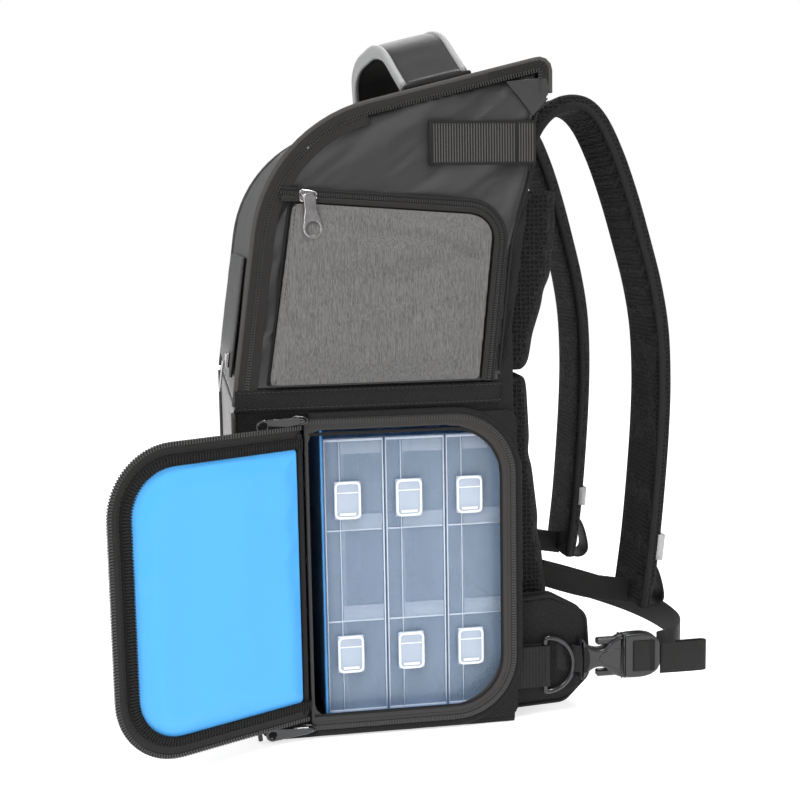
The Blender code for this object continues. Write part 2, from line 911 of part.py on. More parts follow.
def build_buckle():
    """A side-release buckle on the near fin: its plug slides out along +Y."""
    fin_face = fin_inner + fin_thickness
    x0 = fin_face + clearance
    x1 = x0 + buckle_thickness
    half = buckle_width / 2
    z = belt_height
    start = back_face + 0.0495
    mouth = start + socket_length
    wall = 0.0022
    strap_x = (x0 + x1) / 2
    socket = block("buckle_socket", (x0, start, z - half), (x1, mouth, z + half), moulded, edge=0.0022)
    cut(
        socket,
        block(
            "socket_hollow",
            (x0 + wall, start + 0.010, z - half + wall),
            (x1 - wall, mouth + 0.01, z + half - wall),
            None,
        ),
    )
    cut(
        socket,
        block(
            "socket_window",
            (x0 + wall, start + 0.016, z - half - 0.01),
            (x1 - wall, mouth - 0.006, z + half + 0.01),
            None,
        ),
    )
    hang = pivot("buckle_release", (strap_x, mouth, z))
    heel = mouth + clearance
    plug = block("buckle_plug", (x0, heel, z - half), (x1, heel + plug_length, z + half), moulded, edge=0.0022)
    tongue = block(
        "plug_tongue",
        (x0 + wall + clearance, mouth - 0.018, z - 0.0035),
        (x1 - wall - clearance, heel + 0.004, z + 0.0035),
        None,
    )
    join(plug, tongue)
    slot = block(
        "plug_slot",
        (x0 - 0.01, heel + plug_length - 0.010, z - belt_width / 2 - 0.001),
        (x1 + 0.01, heel + plug_length - 0.004, z + belt_width / 2 + 0.001),
        None,
    )
    cut(plug, slot)
    hang(plug, tongue, slot)
    for place, sign in (("upper", 1), ("lower", -1)):
        edges = sorted((z + sign * (half - wall - 0.0004), z + sign * (half - wall - 0.0054)))
        prong = block(
            "buckle_prong_" + place,
            (x0 + wall + clearance, mouth - 0.020, edges[0]),
            (x1 - wall - clearance, mouth, edges[1]),
            moulded,
            edge=0.001,
        )
        pivot(f"buckle_prong_{place}_root", (strap_x, mouth, sum(edges) / 2))(prong)

    low, high = z - belt_width / 2, z + belt_width / 2
    block(
        "belt_webbing_near",
        (x0, back_face + 0.0325, low),
        (x0 + webbing, start - clearance, high),
        ribbed,
    )
    heel_end = heel + plug_length
    run = [
        (x1 - 0.003, heel_end + clearance),
        (x1 - 0.0025, heel_end + 0.018),
        (x1 - 0.0030, heel_end + 0.034),
        (x1 - 0.0052, heel_end + 0.0375),
        (x1 - 0.0078, heel_end + 0.034),
        (x1 - 0.0072, heel_end + 0.014),
    ]
    tail = extruded("belt_tail", [ribbon(smooth(run, 3), webbing)], "Z", low - 0.004, high - 0.004, ribbed)
    hang(tail)
    far_end = -(fin_inner + fin_thickness / 2)
    sweep = [
        (x0 + 0.0010, heel_end + clearance),
        (x0 - 0.0040, heel_end + 0.010),
        (x0 - 0.0140, heel_end + 0.023),
        (0.098, heel_end + 0.034),
        (0.050, heel_end + 0.033),
        (0.0, heel_end + 0.020),
        (-0.060, back_face + 0.106),
        (-0.108, back_face + 0.079),
        (far_end, back_face + 0.0612),
    ]
    band = ribbon(smooth(sweep, 4), webbing)
    extruded("belt_webbing_far", [band], "Z", low + 0.003, high + 0.003, ribbed)


def half_turn(steps):
    return [-math.pi / 2 + math.pi * k / steps for k in range(steps + 1)]


build_bag()
build_lid()
build_doors()
for number in range(1, box_count + 1):
    build_tackle_box(number)
build_sliders()
build_back_pads()
build_hip_belt()
build_buckle()
for side, sign in (("near", 1), ("far", -1)):
    build_side_pocket(side, sign)
    build_load_tab(side, sign)
    build_strap(side, sign, 1.0 if sign > 0 else 0.9)
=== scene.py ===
import math

import bmesh
import bpy
from mathutils import Matrix, Vector, noise


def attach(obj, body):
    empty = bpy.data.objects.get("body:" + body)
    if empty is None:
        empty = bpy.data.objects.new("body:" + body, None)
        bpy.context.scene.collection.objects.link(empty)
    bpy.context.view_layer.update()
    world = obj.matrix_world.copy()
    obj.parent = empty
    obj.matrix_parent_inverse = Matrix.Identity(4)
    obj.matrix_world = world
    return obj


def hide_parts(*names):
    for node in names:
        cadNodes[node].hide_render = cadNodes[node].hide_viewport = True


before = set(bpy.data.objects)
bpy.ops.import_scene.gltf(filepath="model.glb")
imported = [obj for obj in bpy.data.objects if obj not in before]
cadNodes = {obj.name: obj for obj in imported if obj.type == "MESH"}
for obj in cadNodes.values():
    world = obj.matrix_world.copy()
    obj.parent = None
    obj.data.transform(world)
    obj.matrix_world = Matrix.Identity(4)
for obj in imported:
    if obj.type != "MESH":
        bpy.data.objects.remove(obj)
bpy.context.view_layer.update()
print("frame loaded:", len(cadNodes), "nodes")

# camera, light and floor

cameraSetup = {
    "place": (1.0694, -0.1519, 0.3701),
    "yaw": 9.5,
    "pitch": 7.4,
    "roll": -1.0,
    "lens": 58.5,
}
studio = {
    "sky": 0.34,
    "key": (30, (1.9, -1.7, 2.0), 1.0),
    "fill": (10, (1.7, 1.8, 0.9), 1.6),
    "top": (30, (0.85, 0.35, 2.3), 0.7),
    "rear": (14, (-2.2, 0.6, 1.5), 1.6),
    "front": (12, (0.2, -2.4, 1.0), 1.4),
}


def buildStudio():
    yaw, pitch = math.radians(cameraSetup["yaw"]), math.radians(cameraSetup["pitch"])
    look = Vector((-math.cos(pitch) * math.cos(yaw), math.cos(pitch) * math.sin(yaw), -math.sin(pitch)))
    lens = bpy.data.cameras.new("viewCamera")
    lens.lens = cameraSetup["lens"]
    lens.sensor_width = 36
    lens.clip_start = 0.02
    view = bpy.data.objects.new("viewCamera", lens)
    turn = look.to_track_quat("-Z", "Y").to_matrix() @ Matrix.Rotation(math.radians(cameraSetup["roll"]), 3,
            "Z")
    view.matrix_world = Matrix.Translation(cameraSetup["place"]) @ turn.to_4x4()
    bpy.context.collection.objects.link(view)
    bpy.context.scene.camera = view

    sky = bpy.data.worlds.new("studioSky")
    sky.use_nodes = True
    air = sky.node_tree
    soft = air.nodes["Background"]
    soft.inputs["Color"].default_value = (0.97, 0.985, 1.0, 1)
    soft.inputs["Strength"].default_value = studio["sky"]
    white = air.nodes.new("ShaderNodeBackground")
    white.inputs["Color"].default_value = (1, 1, 1, 1)
    seen, mix = air.nodes.new("ShaderNodeLightPath"), air.nodes.new("ShaderNodeMixShader")
    air.links.new(seen.outputs["Is Camera Ray"], mix.inputs[0])
    air.links.new(soft.outputs[0], mix.inputs[1])
    air.links.new(white.outputs[0], mix.inputs[2])
    air.links.new(mix.outputs[0], air.nodes["World Output"].inputs["Surface"])
    bpy.context.scene.world = sky
    bpy.context.scene.view_settings.view_transform = "Standard"
    for name in ("key", "fill", "top", "rear", "front"):
        power, place, size = studio[name]
        lamp = bpy.data.lights.new(name + "Light", "AREA")
        lamp.energy = power
        lamp.size = size
        holder = bpy.data.objects.new(name + "Light", lamp)
        aim = Vector((0, 0, 0.25)) - Vector(place)
        holder.matrix_world = Matrix.Translation(place) @ aim.to_track_quat("-Z", "Y").to_matrix().to_4x4()
        bpy.context.collection.objects.link(holder)

    mesh = bpy.data.meshes.new("studioFloor")
    mesh.from_pydata([(-4, -4, -0.0005), (4, -4, -0.0005), (4, 4, -0.0005), (-4, 4, -0.0005)], [],
                     [(0, 1, 2, 3)])
    ground = bpy.data.objects.new("studioFloor", mesh)
    bpy.context.collection.objects.link(ground)
    paint = bpy.data.materials.new("paleFloor")
    paint.use_nodes = True
    paint.node_tree.nodes["Principled BSDF"].inputs["Base Color"].default_value = (0.90, 0.90, 0.90, 1)
    paint.node_tree.nodes["Principled BSDF"].inputs["Roughness"].default_value = 0.9
    paint.node_tree.nodes["Principled BSDF"].inputs["Emission Color"].default_value = (1, 1, 1, 1)
    paint.node_tree.nodes["Principled BSDF"].inputs["Emission Strength"].default_value = 0.68
    mesh.materials.append(paint)


buildStudio()
print("studio ready")

# finishes


def addNode(tree, kind, values=None, **settings):
    made = tree.nodes.new(kind)
    for key, value in settings.items():
        setattr(made, key, value)
    for key, value in (values or {}).items():
        made.inputs[key].default_value = value
    return made


def maths(tree, operation, first, second=None):
    made = tree.nodes.new("ShaderNodeMath")
    made.operation = operation
    for socket, value in zip(made.inputs, (first, second)):
        if value is None:
            continue
        if isinstance(value, (int, float)):
            socket.default_value = value
        else:
            tree.links.new(value, socket)
    return made.outputs[0]


def blendColours(tree, factor, first, second):
    mix = tree.nodes.new("ShaderNodeMix")
    mix.data_type = "RGBA"
    for socket, value in ((mix.inputs[0], factor), (mix.inputs[6], first), (mix.inputs[7], second)):
        if isinstance(value, (tuple, list)):
            socket.default_value = (*value[:3], 1)
        elif isinstance(value, (int, float)):
            socket.default_value = value
        else:
            tree.links.new(value, socket)
    return mix.outputs[2]


def speckle(tree, coords, stretch, detail=3, seedShift=0.0):
    mapping = addNode(tree, "ShaderNodeMapping", {"Scale": stretch, "Location": (seedShift, seedShift, 0)})
    tree.links.new(coords, mapping.inputs["Vector"])
    grain = addNode(tree, "ShaderNodeTexNoise", {"Scale": 1.0, "Detail": detail, "Roughness": 0.6})
    tree.links.new(mapping.outputs[0], grain.inputs["Vector"])
    return grain.outputs["Fac"]


clothLooks = {
    "coatedCloth": {"base": (0.030, 0.029, 0.028), "deep": (0.017, 0.016, 0.016), "rough": 0.34,
                    "gloss": 0.55, "thread": 0.0009,
                    "twill": False, "relief": 0.00008, "wear": 0.30, "sheen": 0.02},
    "ballisticCloth": {"base": (0.020, 0.019, 0.0185), "deep": (0.003, 0.003, 0.003), "rough": 0.66,
                       "gloss": 0.18, "thread": 0.0023,
                       "twill": True, "relief": 0.00050, "wear": 0.20, "sheen": 0.02},
    "webbingCloth": {"base": (0.022, 0.021, 0.020), "deep": (0.006, 0.006, 0.006), "rough": 0.58,
                     "gloss": 0.22, "thread": 0.0014,
                     "twill": True, "relief": 0.00020, "wear": 0.3, "sheen": 0.02},
    "ribCloth": {"base": (0.085, 0.081, 0.078), "deep": (0.040, 0.038, 0.036), "rough": 0.55, "gloss": 0.35,
                 "thread": 0.0012,
                 "twill": True, "relief": 0.00015, "wear": 0.3, "sheen": 0.02},
    "tapeCloth": {"base": (0.024, 0.022, 0.021), "deep": (0.008, 0.0075, 0.007), "rough": 0.55,
                  "gloss": 0.22, "thread": 0.0010,
                  "twill": False, "relief": 0.00012, "wear": 0.25, "sheen": 0.03},
    "bindingCloth": {"base": (0.018, 0.017, 0.0165), "deep": (0.004, 0.004, 0.004), "rough": 0.60,
                     "gloss": 0.18, "thread": 0.0016,
                     "twill": False, "relief": 0.00030, "wear": 0.3, "sheen": 0.02},
    "hemCloth": {"base": (0.030, 0.027, 0.025), "deep": (0.015, 0.013, 0.012), "rough": 0.42, "gloss": 0.4,
                 "thread": 0.0008,
                 "twill": False, "relief": 0.00005, "wear": 0.3, "sheen": 0.02},
    "pipingCloth": {"base": (0.060, 0.052, 0.050), "deep": (0.030, 0.026, 0.025), "rough": 0.50,
                    "gloss": 0.4, "thread": 0.0010,
                    "twill": False, "relief": 0.00010, "wear": 0.2, "sheen": 0.02},
    "blueCloth": {"base": (0.085, 0.45, 0.92), "deep": (0.060, 0.38, 0.85), "rough": 0.50, "gloss": 0.4,
                  "thread": 0.0008,
                  "twill": False, "relief": 0.00005, "wear": 0.15, "sheen": 0.05},
    # darker copy of blueCloth: painted shade for the inside of the bay, used on the bay lining and
    # compartment floor
    "blueClothPaintedShade": {"base": (0.075, 0.30, 0.62), "deep": (0.050, 0.23, 0.52), "rough": 0.55,
                       "gloss": 0.4, "thread": 0.0009,
                       "twill": False, "relief": 0.00006, "wear": 0.2, "sheen": 0.03},
    "reflectiveCloth": {"base": (0.48, 0.48, 0.48), "deep": (0.30, 0.30, 0.30), "rough": 0.36, "gloss": 0.5,
                        "thread": 0.0022,
                        "twill": True, "relief": 0.0001, "wear": 0.25, "sheen": 0.0},
    "threadCloth": {"base": (0.045, 0.043, 0.042), "deep": (0.016, 0.016, 0.016), "rough": 0.6,
                    "gloss": 0.3, "thread": 0.0006,
                    "twill": True, "relief": 0.0001, "wear": 0.2, "sheen": 0.02},
}


def clothMaterial(name):
    look = clothLooks[name]
    made = bpy.data.materials.new(name)
    made.use_nodes = True
    tree = made.node_tree
    shader = tree.nodes["Principled BSDF"]
    shader.inputs["Sheen Weight"].default_value = look["sheen"]
    shader.inputs["Specular IOR Level"].default_value = look["gloss"]
    shader.inputs["Sheen Roughness"].default_value = 0.5
    coords = tree.nodes.new("ShaderNodeTexCoord").outputs["Object"]
    split = tree.nodes.new("ShaderNodeSeparateXYZ")
    tree.links.new(coords, split.inputs[0])
    flat = maths(tree, "ADD", split.outputs[0], split.outputs[1])
    turns = 2 * math.pi / look["thread"]
    if look["twill"]:
        diagonal = maths(tree, "ADD", flat, split.outputs[2])
        other = maths(tree, "SUBTRACT", flat, split.outputs[2])
        weave = maths(tree, "MULTIPLY", maths(tree, "SINE", maths(tree, "MULTIPLY", diagonal, turns)),
                      maths(tree, "SINE", maths(tree, "MULTIPLY", other, turns * 0.55)))
    else:
        weave = maths(tree, "MULTIPLY", maths(tree, "SINE", maths(tree, "MULTIPLY", flat, turns)),
                      maths(tree, "SINE", maths(tree, "MULTIPLY", split.outputs[2], turns)))
    height = maths(tree, "ADD", maths(tree, "MULTIPLY", weave, 0.5), 0.5)
    cloudy = speckle(tree, coords, (26, 26, 26))
    fine = speckle(tree, coords, (900, 900, 900), 2, 3.0)
    tone = maths(tree, "ADD", maths(tree, "MULTIPLY", height, 0.55),
                 maths(tree, "MULTIPLY", maths(tree, "ADD", cloudy, fine), look["wear"]))
    colour = blendColours(tree, maths(tree, "MINIMUM", tone, 1.0), look["deep"], look["base"])
    tree.links.new(colour, shader.inputs["Base Color"])
    rough = maths(tree, "ADD", maths(tree, "MULTIPLY", cloudy, 0.16), look["rough"] - 0.08)
    tree.links.new(rough, shader.inputs["Roughness"])
    bump = addNode(tree, "ShaderNodeBump", {"Strength": 0.9, "Distance": look["relief"]})
    tree.links.new(maths(tree, "ADD", height, maths(tree, "MULTIPLY", fine, 0.6)), bump.inputs["Height"])
    tree.links.new(bump.outputs[0], shader.inputs["Normal"])
    return made


heatherLook = {"light": (0.172, 0.167, 0.162), "dark": (0.070, 0.068, 0.066), "across": 2300, "along": 210,
               "rough": 0.80}


def heatherMaterial(name):
    made = bpy.data.materials.new(name)
    made.use_nodes = True
    tree = made.node_tree
    shader = tree.nodes["Principled BSDF"]
    shader.inputs["Sheen Weight"].default_value = 0.02
    shader.inputs["Specular IOR Level"].default_value = 0.3
    shader.inputs["Roughness"].default_value = heatherLook["rough"]
    coords = tree.nodes.new("ShaderNodeTexCoord").outputs["Object"]
    streaks = speckle(tree, coords, (heatherLook["across"], heatherLook["across"], heatherLook["along"]), 2)
    coarse = speckle(tree, coords, (900, 900, 60), 2, 7.0)
    cloudy = speckle(tree, coords, (30, 30, 22), 2, 2.0)
    total = maths(tree, "ADD", maths(tree, "MULTIPLY", streaks, 0.62),
                  maths(tree, "MULTIPLY", coarse, 0.38))
    ramp = tree.nodes.new("ShaderNodeValToRGB")
    ramp.color_ramp.elements[0].position = 0.36
    ramp.color_ramp.elements[0].color = (*heatherLook["dark"], 1)
    ramp.color_ramp.elements[1].position = 0.60
    ramp.color_ramp.elements[1].color = (*heatherLook["light"], 1)
    tree.links.new(total, ramp.inputs[0])
    tint = blendColours(tree, maths(tree, "MULTIPLY", cloudy, 0.35), ramp.outputs[0], (0.09, 0.088, 0.086))
    tree.links.new(tint, shader.inputs["Base Color"])
    bump = addNode(tree, "ShaderNodeBump", {"Strength": 0.6, "Distance": 0.0002})
    tree.links.new(streaks, bump.inputs["Height"])
    tree.links.new(bump.outputs[0], shader.inputs["Normal"])
    return made


# the hole colour is painted shade for the mesh openings
meshLook = {"cell": 290, "thread": (0.022, 0.022, 0.022), "hole": (0.002, 0.002, 0.002), "rough": 0.8}


def airMeshMaterial(name):
    made = bpy.data.materials.new(name)
    made.use_nodes = True
    tree = made.node_tree
    shader = tree.nodes["Principled BSDF"]
    shader.inputs["Roughness"].default_value = meshLook["rough"]
    shader.inputs["Specular IOR Level"].default_value = 0.25
    coords = tree.nodes.new("ShaderNodeTexCoord").outputs["Object"]
    cells = addNode(tree, "ShaderNodeTexVoronoi", {"Scale": meshLook["cell"], "Randomness": 0.35},
                    feature="DISTANCE_TO_EDGE")
    tree.links.new(coords, cells.inputs["Vector"])
    # painted shade: the mesh openings get the near-black hole colour, the threads keep the cloth colour
    rim = maths(tree, "MINIMUM", maths(tree, "MULTIPLY", cells.outputs["Distance"], 4.5), 1.0)
    tree.links.new(blendColours(tree, rim, meshLook["thread"], meshLook["hole"]),
                   shader.inputs["Base Color"])
    bump = addNode(tree, "ShaderNodeBump", {"Strength": 1.0, "Distance": 0.0011})
    tree.links.new(maths(tree, "SUBTRACT", 1.0, rim), bump.inputs["Height"])
    tree.links.new(bump.outputs[0], shader.inputs["Normal"])
    return made


hardLooks = {
    "darkPlastic": {"base": (0.014, 0.014, 0.015), "rough": 0.30, "metal": 0.0, "grain": 0.00006,
                    "coat": 0.15},
    "glossPlastic": {"base": (0.010, 0.010, 0.010), "rough": 0.16, "metal": 0.0, "grain": 0.00002,
                     "coat": 0.4},
    "platedMetal": {"base": (0.36, 0.345, 0.345), "rough": 0.22, "metal": 1.0, "grain": 0.00003,
                    "coat": 0.0},
    "blackWire": {"base": (0.030, 0.030, 0.032), "rough": 0.20, "metal": 0.7, "grain": 0.00002,
                  "coat": 0.5},
    "zipTeeth": {"base": (0.022, 0.021, 0.020), "rough": 0.34, "metal": 0.0, "grain": 0.00003, "coat": 0.1},
}


def hardMaterial(name):
    look = hardLooks[name]
    made = bpy.data.materials.new(name)
    made.use_nodes = True
    tree = made.node_tree
    shader = tree.nodes["Principled BSDF"]
    shader.inputs["Metallic"].default_value = look["metal"]
    shader.inputs["Coat Weight"].default_value = look["coat"]
    shader.inputs["Coat Roughness"].default_value = 0.15
    coords = tree.nodes.new("ShaderNodeTexCoord").outputs["Object"]
    cloudy = speckle(tree, coords, (120, 120, 120))
    fine = speckle(tree, coords, (1500, 1500, 1500), 2, 5.0)
    paler = tuple(min(1.0, c * 1.5) for c in look["base"])
    tree.links.new(blendColours(tree, maths(tree, "MULTIPLY", cloudy, 0.7), look["base"], paler),
                   shader.inputs["Base Color"])
    rough = maths(tree, "ADD", maths(tree, "MULTIPLY", cloudy, 0.2), look["rough"] - 0.08)
    tree.links.new(rough, shader.inputs["Roughness"])
    bump = addNode(tree, "ShaderNodeBump", {"Strength": 0.6, "Distance": look["grain"]})
    tree.links.new(fine, bump.inputs["Height"])
    tree.links.new(bump.outputs[0], shader.inputs["Normal"])
    return made


clearLook = {"wall": ((0.40, 0.54, 0.74), (0.50, 0.62, 0.80), 0.27),
             "band": ((0.58, 0.68, 0.84), (0.70, 0.78, 0.90), 0.22),
             "rib": ((0.74, 0.82, 0.94), (0.86, 0.91, 1.0), 0.62),
             "latch": ((0.58, 0.67, 0.80), (0.70, 0.78, 0.90), 0.55),
             "rim": ((0.90, 0.94, 1.0), (0.96, 0.98, 1.0), 0.90), "rough": 0.18}


def clearMaterial(name, kind):
    tint, rim, alpha = clearLook[kind]
    made = bpy.data.materials.new(name)
    made.use_nodes = True
    tree = made.node_tree
    shader = tree.nodes["Principled BSDF"]
    shader.inputs["Alpha"].default_value = alpha
    shader.inputs["Coat Weight"].default_value = 0.3
    coords = tree.nodes.new("ShaderNodeTexCoord").outputs["Object"]
    cloudy = speckle(tree, coords, (45, 45, 45))
    fine = speckle(tree, coords, (700, 700, 700), 2, 4.0)
    tree.links.new(blendColours(tree, cloudy, tint, rim), shader.inputs["Base Color"])
    rough = maths(tree, "ADD", maths(tree, "MULTIPLY", cloudy, 0.14), clearLook["rough"])
    tree.links.new(rough, shader.inputs["Roughness"])
    bump = addNode(tree, "ShaderNodeBump", {"Strength": 0.3, "Distance": 0.00008})
    tree.links.new(fine, bump.inputs["Height"])
    tree.links.new(bump.outputs[0], shader.inputs["Normal"])
    return made


finish = {name: clothMaterial(name) for name in clothLooks}
finish.update({name: hardMaterial(name) for name in hardLooks})
finish["heatherCloth"] = heatherMaterial("heatherCloth")
finish["airMesh"] = airMeshMaterial("airMesh")
finish.update({name: clearMaterial(name, name[5:].lower()) for name in ("clearWall", "clearBand",
        "clearRib", "clearLatch", "clearRim")})
print("finishes ready:", len(finish))

# making and placing pieces


def newPiece(name, mesh, look):
    mesh.name = name
    piece = bpy.data.objects.new(name, mesh)
    bpy.context.collection.objects.link(piece)
    mesh.materials.clear()
    mesh.materials.append(finish[look])
    for face in mesh.polygons:
        face.use_smooth = True
    piece["look"] = look
    return piece


def dress(nodeName, look):
    paints = cadNodes[nodeName].data.materials
    paints.clear()
    paints.append(finish[look])


def settle(piece, body, *replaced):
    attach(piece, body)
    if replaced:
        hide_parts(*replaced)
    return piece


def outward(mesh):
    work = bmesh.new()
    work.from_mesh(mesh)
    bmesh.ops.remove_doubles(work, verts=work.verts, dist=1e-6)
    bmesh.ops.recalc_face_normals(work, faces=work.faces)
    work.to_mesh(mesh)
    work.free()


def sweep(name, path, profile, fixed, look, closed=False):
    fixed = Vector(fixed).normalized()
    points = [Vector(p) for p in path]
    count = len(points)
    verts, faces = [], []
    for i, point in enumerate(points):
        if closed:
            along = (points[(i + 1) % count] - points[i - 1]).normalized()
        else:
            along = (points[min(i + 1, count - 1)] - points[max(i - 1, 0)]).normalized()
        side = along.cross(fixed).normalized()
        shape = profile(i / max(1, count - 1)) if callable(profile) else profile
        ring = len(shape)
        verts += [point + side * a + fixed * b for a, b in shape]
    last = count if closed else count - 1
    for i in range(last):
        j = (i + 1) % count
        for k in range(ring):
            n = (k + 1) % ring
            faces.append((i * ring + k, i * ring + n, j * ring + n, j * ring + k))
    if not closed:
        faces.append(tuple(range(ring)))
        faces.append(tuple((count - 1) * ring + k for k in range(ring))[::-1])
    mesh = bpy.data.meshes.new(name)
    mesh.from_pydata(verts, [], faces)
    outward(mesh)
    return newPiece(name, mesh, look)


def slab(width, height, lift=0.0, corner=0.3, steps=3):
    radius = min(width, height) * corner
    spots = []
    for cx, cy, start in ((1, 1, 0), (-1, 1, 90), (-1, -1, 180), (1, -1, 270)):
        for k in range(steps + 1):
            angle = math.radians(start + 90 * k / steps)
            spots.append((cx * (width / 2 - radius) + radius * math.cos(angle),
                          lift + cy * (height / 2 - radius) + radius * math.sin(angle)))
    return spots


def round8(radius, lift=0.0, sides=8):
    return [(radius * math.cos(2 * math.pi * k / sides), lift + radius * math.sin(2 * math.pi * k / sides))
            for k in range(sides)]


def curveThrough(points, steps=6, closed=False):
    spots = [Vector(p) for p in points]
    if closed:
        ends = [spots[-1], *spots, spots[0], spots[1]]
    else:
        ends = [2 * spots[0] - spots[1], *spots, 2 * spots[-1] - spots[-2]]
    curve = []
    for a, b, c, d in zip(ends, ends[1:], ends[2:], ends[3:]):
        for k in range(steps):
            t = k / steps
            bend, twist = 2 * a - 5 * b + 4 * c - d, 3 * b - a - 3 * c + d
            curve.append((2 * b + (c - a) * t + bend * t**2 + twist * t**3) / 2)
    if not closed:
        curve.append(spots[-1])
    return curve


def cornered(corners, steps=6, closed=True):
    out = []
    count = len(corners)
    for i, (x, y, radius) in enumerate(corners):
        here = Vector((x, y))
        if radius <= 0 or (not closed and i in (0, count - 1)):
            out.append(here)
            continue
        before = (Vector(corners[i - 1][:2]) - here).normalized()
        after = (Vector(corners[(i + 1) % count][:2]) - here).normalized()
        half = before.angle(after) / 2
        reach = radius / math.tan(half)
        centre = here + (before + after).normalized() * (radius / math.sin(half))
        start, end = here + before * reach - centre, here + after * reach - centre
        turn = start.angle_signed(end)
        for k in range(steps + 1):
            out.append(centre + Matrix.Rotation(-turn * k / steps, 2) @ start)
    return out


def evenly(path, spacing, closed=False):
    points = [Vector(p) for p in path] + ([Vector(path[0])] if closed else [])
    out, carried = [points[0].copy()], 0.0
    for a, b in zip(points, points[1:]):
        length = (b - a).length
        while carried + length >= spacing and length > 0:
            step = spacing - carried
            a = a + (b - a) * (step / length)
            length = (b - a).length
            carried = 0.0
            out.append(a.copy())
        carried += length
    if closed and (out[-1] - out[0]).length < spacing * 0.5:
        out.pop()
    return out


def repeatTree(name):
    tree = bpy.data.node_groups.new(name, "GeometryNodeTree")
    tree.interface.new_socket("Geometry", in_out="INPUT", socket_type="NodeSocketGeometry")
    for label, value in (("Spacing", 0.002), ("Along", 0.001), ("Across", 0.003), ("Rise", 0.001),
                         ("Lift", 0.0)):
        tree.interface.new_socket(label, in_out="INPUT",
                                  socket_type="NodeSocketFloat").default_value = value
    tree.interface.new_socket("Finish", in_out="INPUT", socket_type="NodeSocketMaterial")
    tree.interface.new_socket("Geometry", in_out="OUTPUT", socket_type="NodeSocketGeometry")
    link = tree.links.new
    start, end = tree.nodes.new("NodeGroupInput"), tree.nodes.new("NodeGroupOutput")
    spots = tree.nodes.new("GeometryNodeCurveToPoints")
    spots.mode = "LENGTH"
    link(start.outputs["Geometry"], spots.inputs["Curve"])
    link(start.outputs["Spacing"], spots.inputs["Length"])
    lift, raised = tree.nodes.new("ShaderNodeCombineXYZ"), tree.nodes.new("GeometryNodeSetPosition")
    link(start.outputs["Lift"], lift.inputs["Z"])
    link(spots.outputs["Points"], raised.inputs["Geometry"])
    link(lift.outputs[0], raised.inputs["Offset"])
    size, cube = tree.nodes.new("ShaderNodeCombineXYZ"), tree.nodes.new("GeometryNodeMeshCube")
    for label, axis in (("Along", "X"), ("Across", "Y"), ("Rise", "Z")):
        link(start.outputs[label], size.inputs[axis])
    link(size.outputs[0], cube.inputs["Size"])
    aim = tree.nodes.new("FunctionNodeAlignRotationToVector")
    aim.axis, aim.pivot_axis = "X", "Z"
    link(spots.outputs["Tangent"], aim.inputs["Vector"])
    copies = tree.nodes.new("GeometryNodeInstanceOnPoints")
    link(raised.outputs[0], copies.inputs["Points"])
    link(cube.outputs["Mesh"], copies.inputs["Instance"])
    link(aim.outputs[0], copies.inputs["Rotation"])
    real, paint = tree.nodes.new("GeometryNodeRealizeInstances"), tree.nodes.new("GeometryNodeSetMaterial")
    link(copies.outputs[0], real.inputs[0])
    link(real.outputs[0], paint.inputs["Geometry"])
    link(start.outputs["Finish"], paint.inputs["Material"])
    link(paint.outputs[0], end.inputs[0])
    return tree


repeats = repeatTree("repeatAlongPath")


def repeated(name, path, sizes, look, place, closed=False):
    data = bpy.data.curves.new(name, "CURVE")
    data.dimensions = "3D"
    strand = data.splines.new("POLY")
    strand.points.add(len(path) - 1)
    for spot, (x, y) in zip(strand.points, path):
        spot.co = (x, y, 0, 1)
    strand.use_cyclic_u = closed
    guide = bpy.data.objects.new(name + "Guide", data)
    bpy.context.collection.objects.link(guide)
    maker = guide.modifiers.new("repeat", "NODES")
    maker.node_group = repeats
    named = {item.name: item.identifier for item in repeats.interface.items_tree if item.in_out == "INPUT"}
    for label, value in zip(("Spacing", "Along", "Across", "Rise", "Lift"), sizes):
        maker[named[label]] = float(value)
    maker[named["Finish"]] = finish[look]
    ready = guide.evaluated_get(bpy.context.evaluated_depsgraph_get())
    mesh = bpy.data.meshes.new_from_object(ready)
    for vert in mesh.vertices:
        vert.co = place(vert.co)
    bpy.data.objects.remove(guide)
    outward(mesh)
    piece = newPiece(name, mesh, look)
    for face in mesh.polygons:
        face.use_smooth = False
    return piece


def inset(outline, amount):
    out = []
    for i, point in enumerate(outline):
        ahead, behind = outline[(i + 1) % len(outline)], outline[i - 1]
        along = Vector((ahead[0] - behind[0], ahead[1] - behind[1])).normalized()
        out.append((point[0] - along.y * amount, point[1] + along.x * amount))
    return out


# the outline runs anticlockwise in (u, v), and place turns (u, v, w) into metres
def prism(name, outline, low, high, look, place, edge=0.0008):
    work = bmesh.new()
    rings = []
    for w, shrink in ((low, edge), (low + edge * 0.3, edge * 0.3), (low + edge, 0), (high - edge, 0),
                      (high - edge * 0.3, edge * 0.3), (high, edge)):
        rings.append([work.verts.new(place((u, v, w))) for u, v in inset(outline, shrink)])
    count = len(outline)
    for below, above in zip(rings, rings[1:]):
        for i in range(count):
            work.faces.new((below[i], below[(i + 1) % count], above[(i + 1) % count], above[i]))
    caps = [work.faces.new(rings[-1]), work.faces.new(rings[0][::-1])]
    bmesh.ops.triangulate(work, faces=caps)
    bmesh.ops.recalc_face_normals(work, faces=work.faces)
    mesh = bpy.data.meshes.new(name)
    work.to_mesh(mesh)
    work.free()
    piece = newPiece(name, mesh, look)
    for face in mesh.polygons:
        face.use_smooth = len(face.vertices) == 4
    return piece


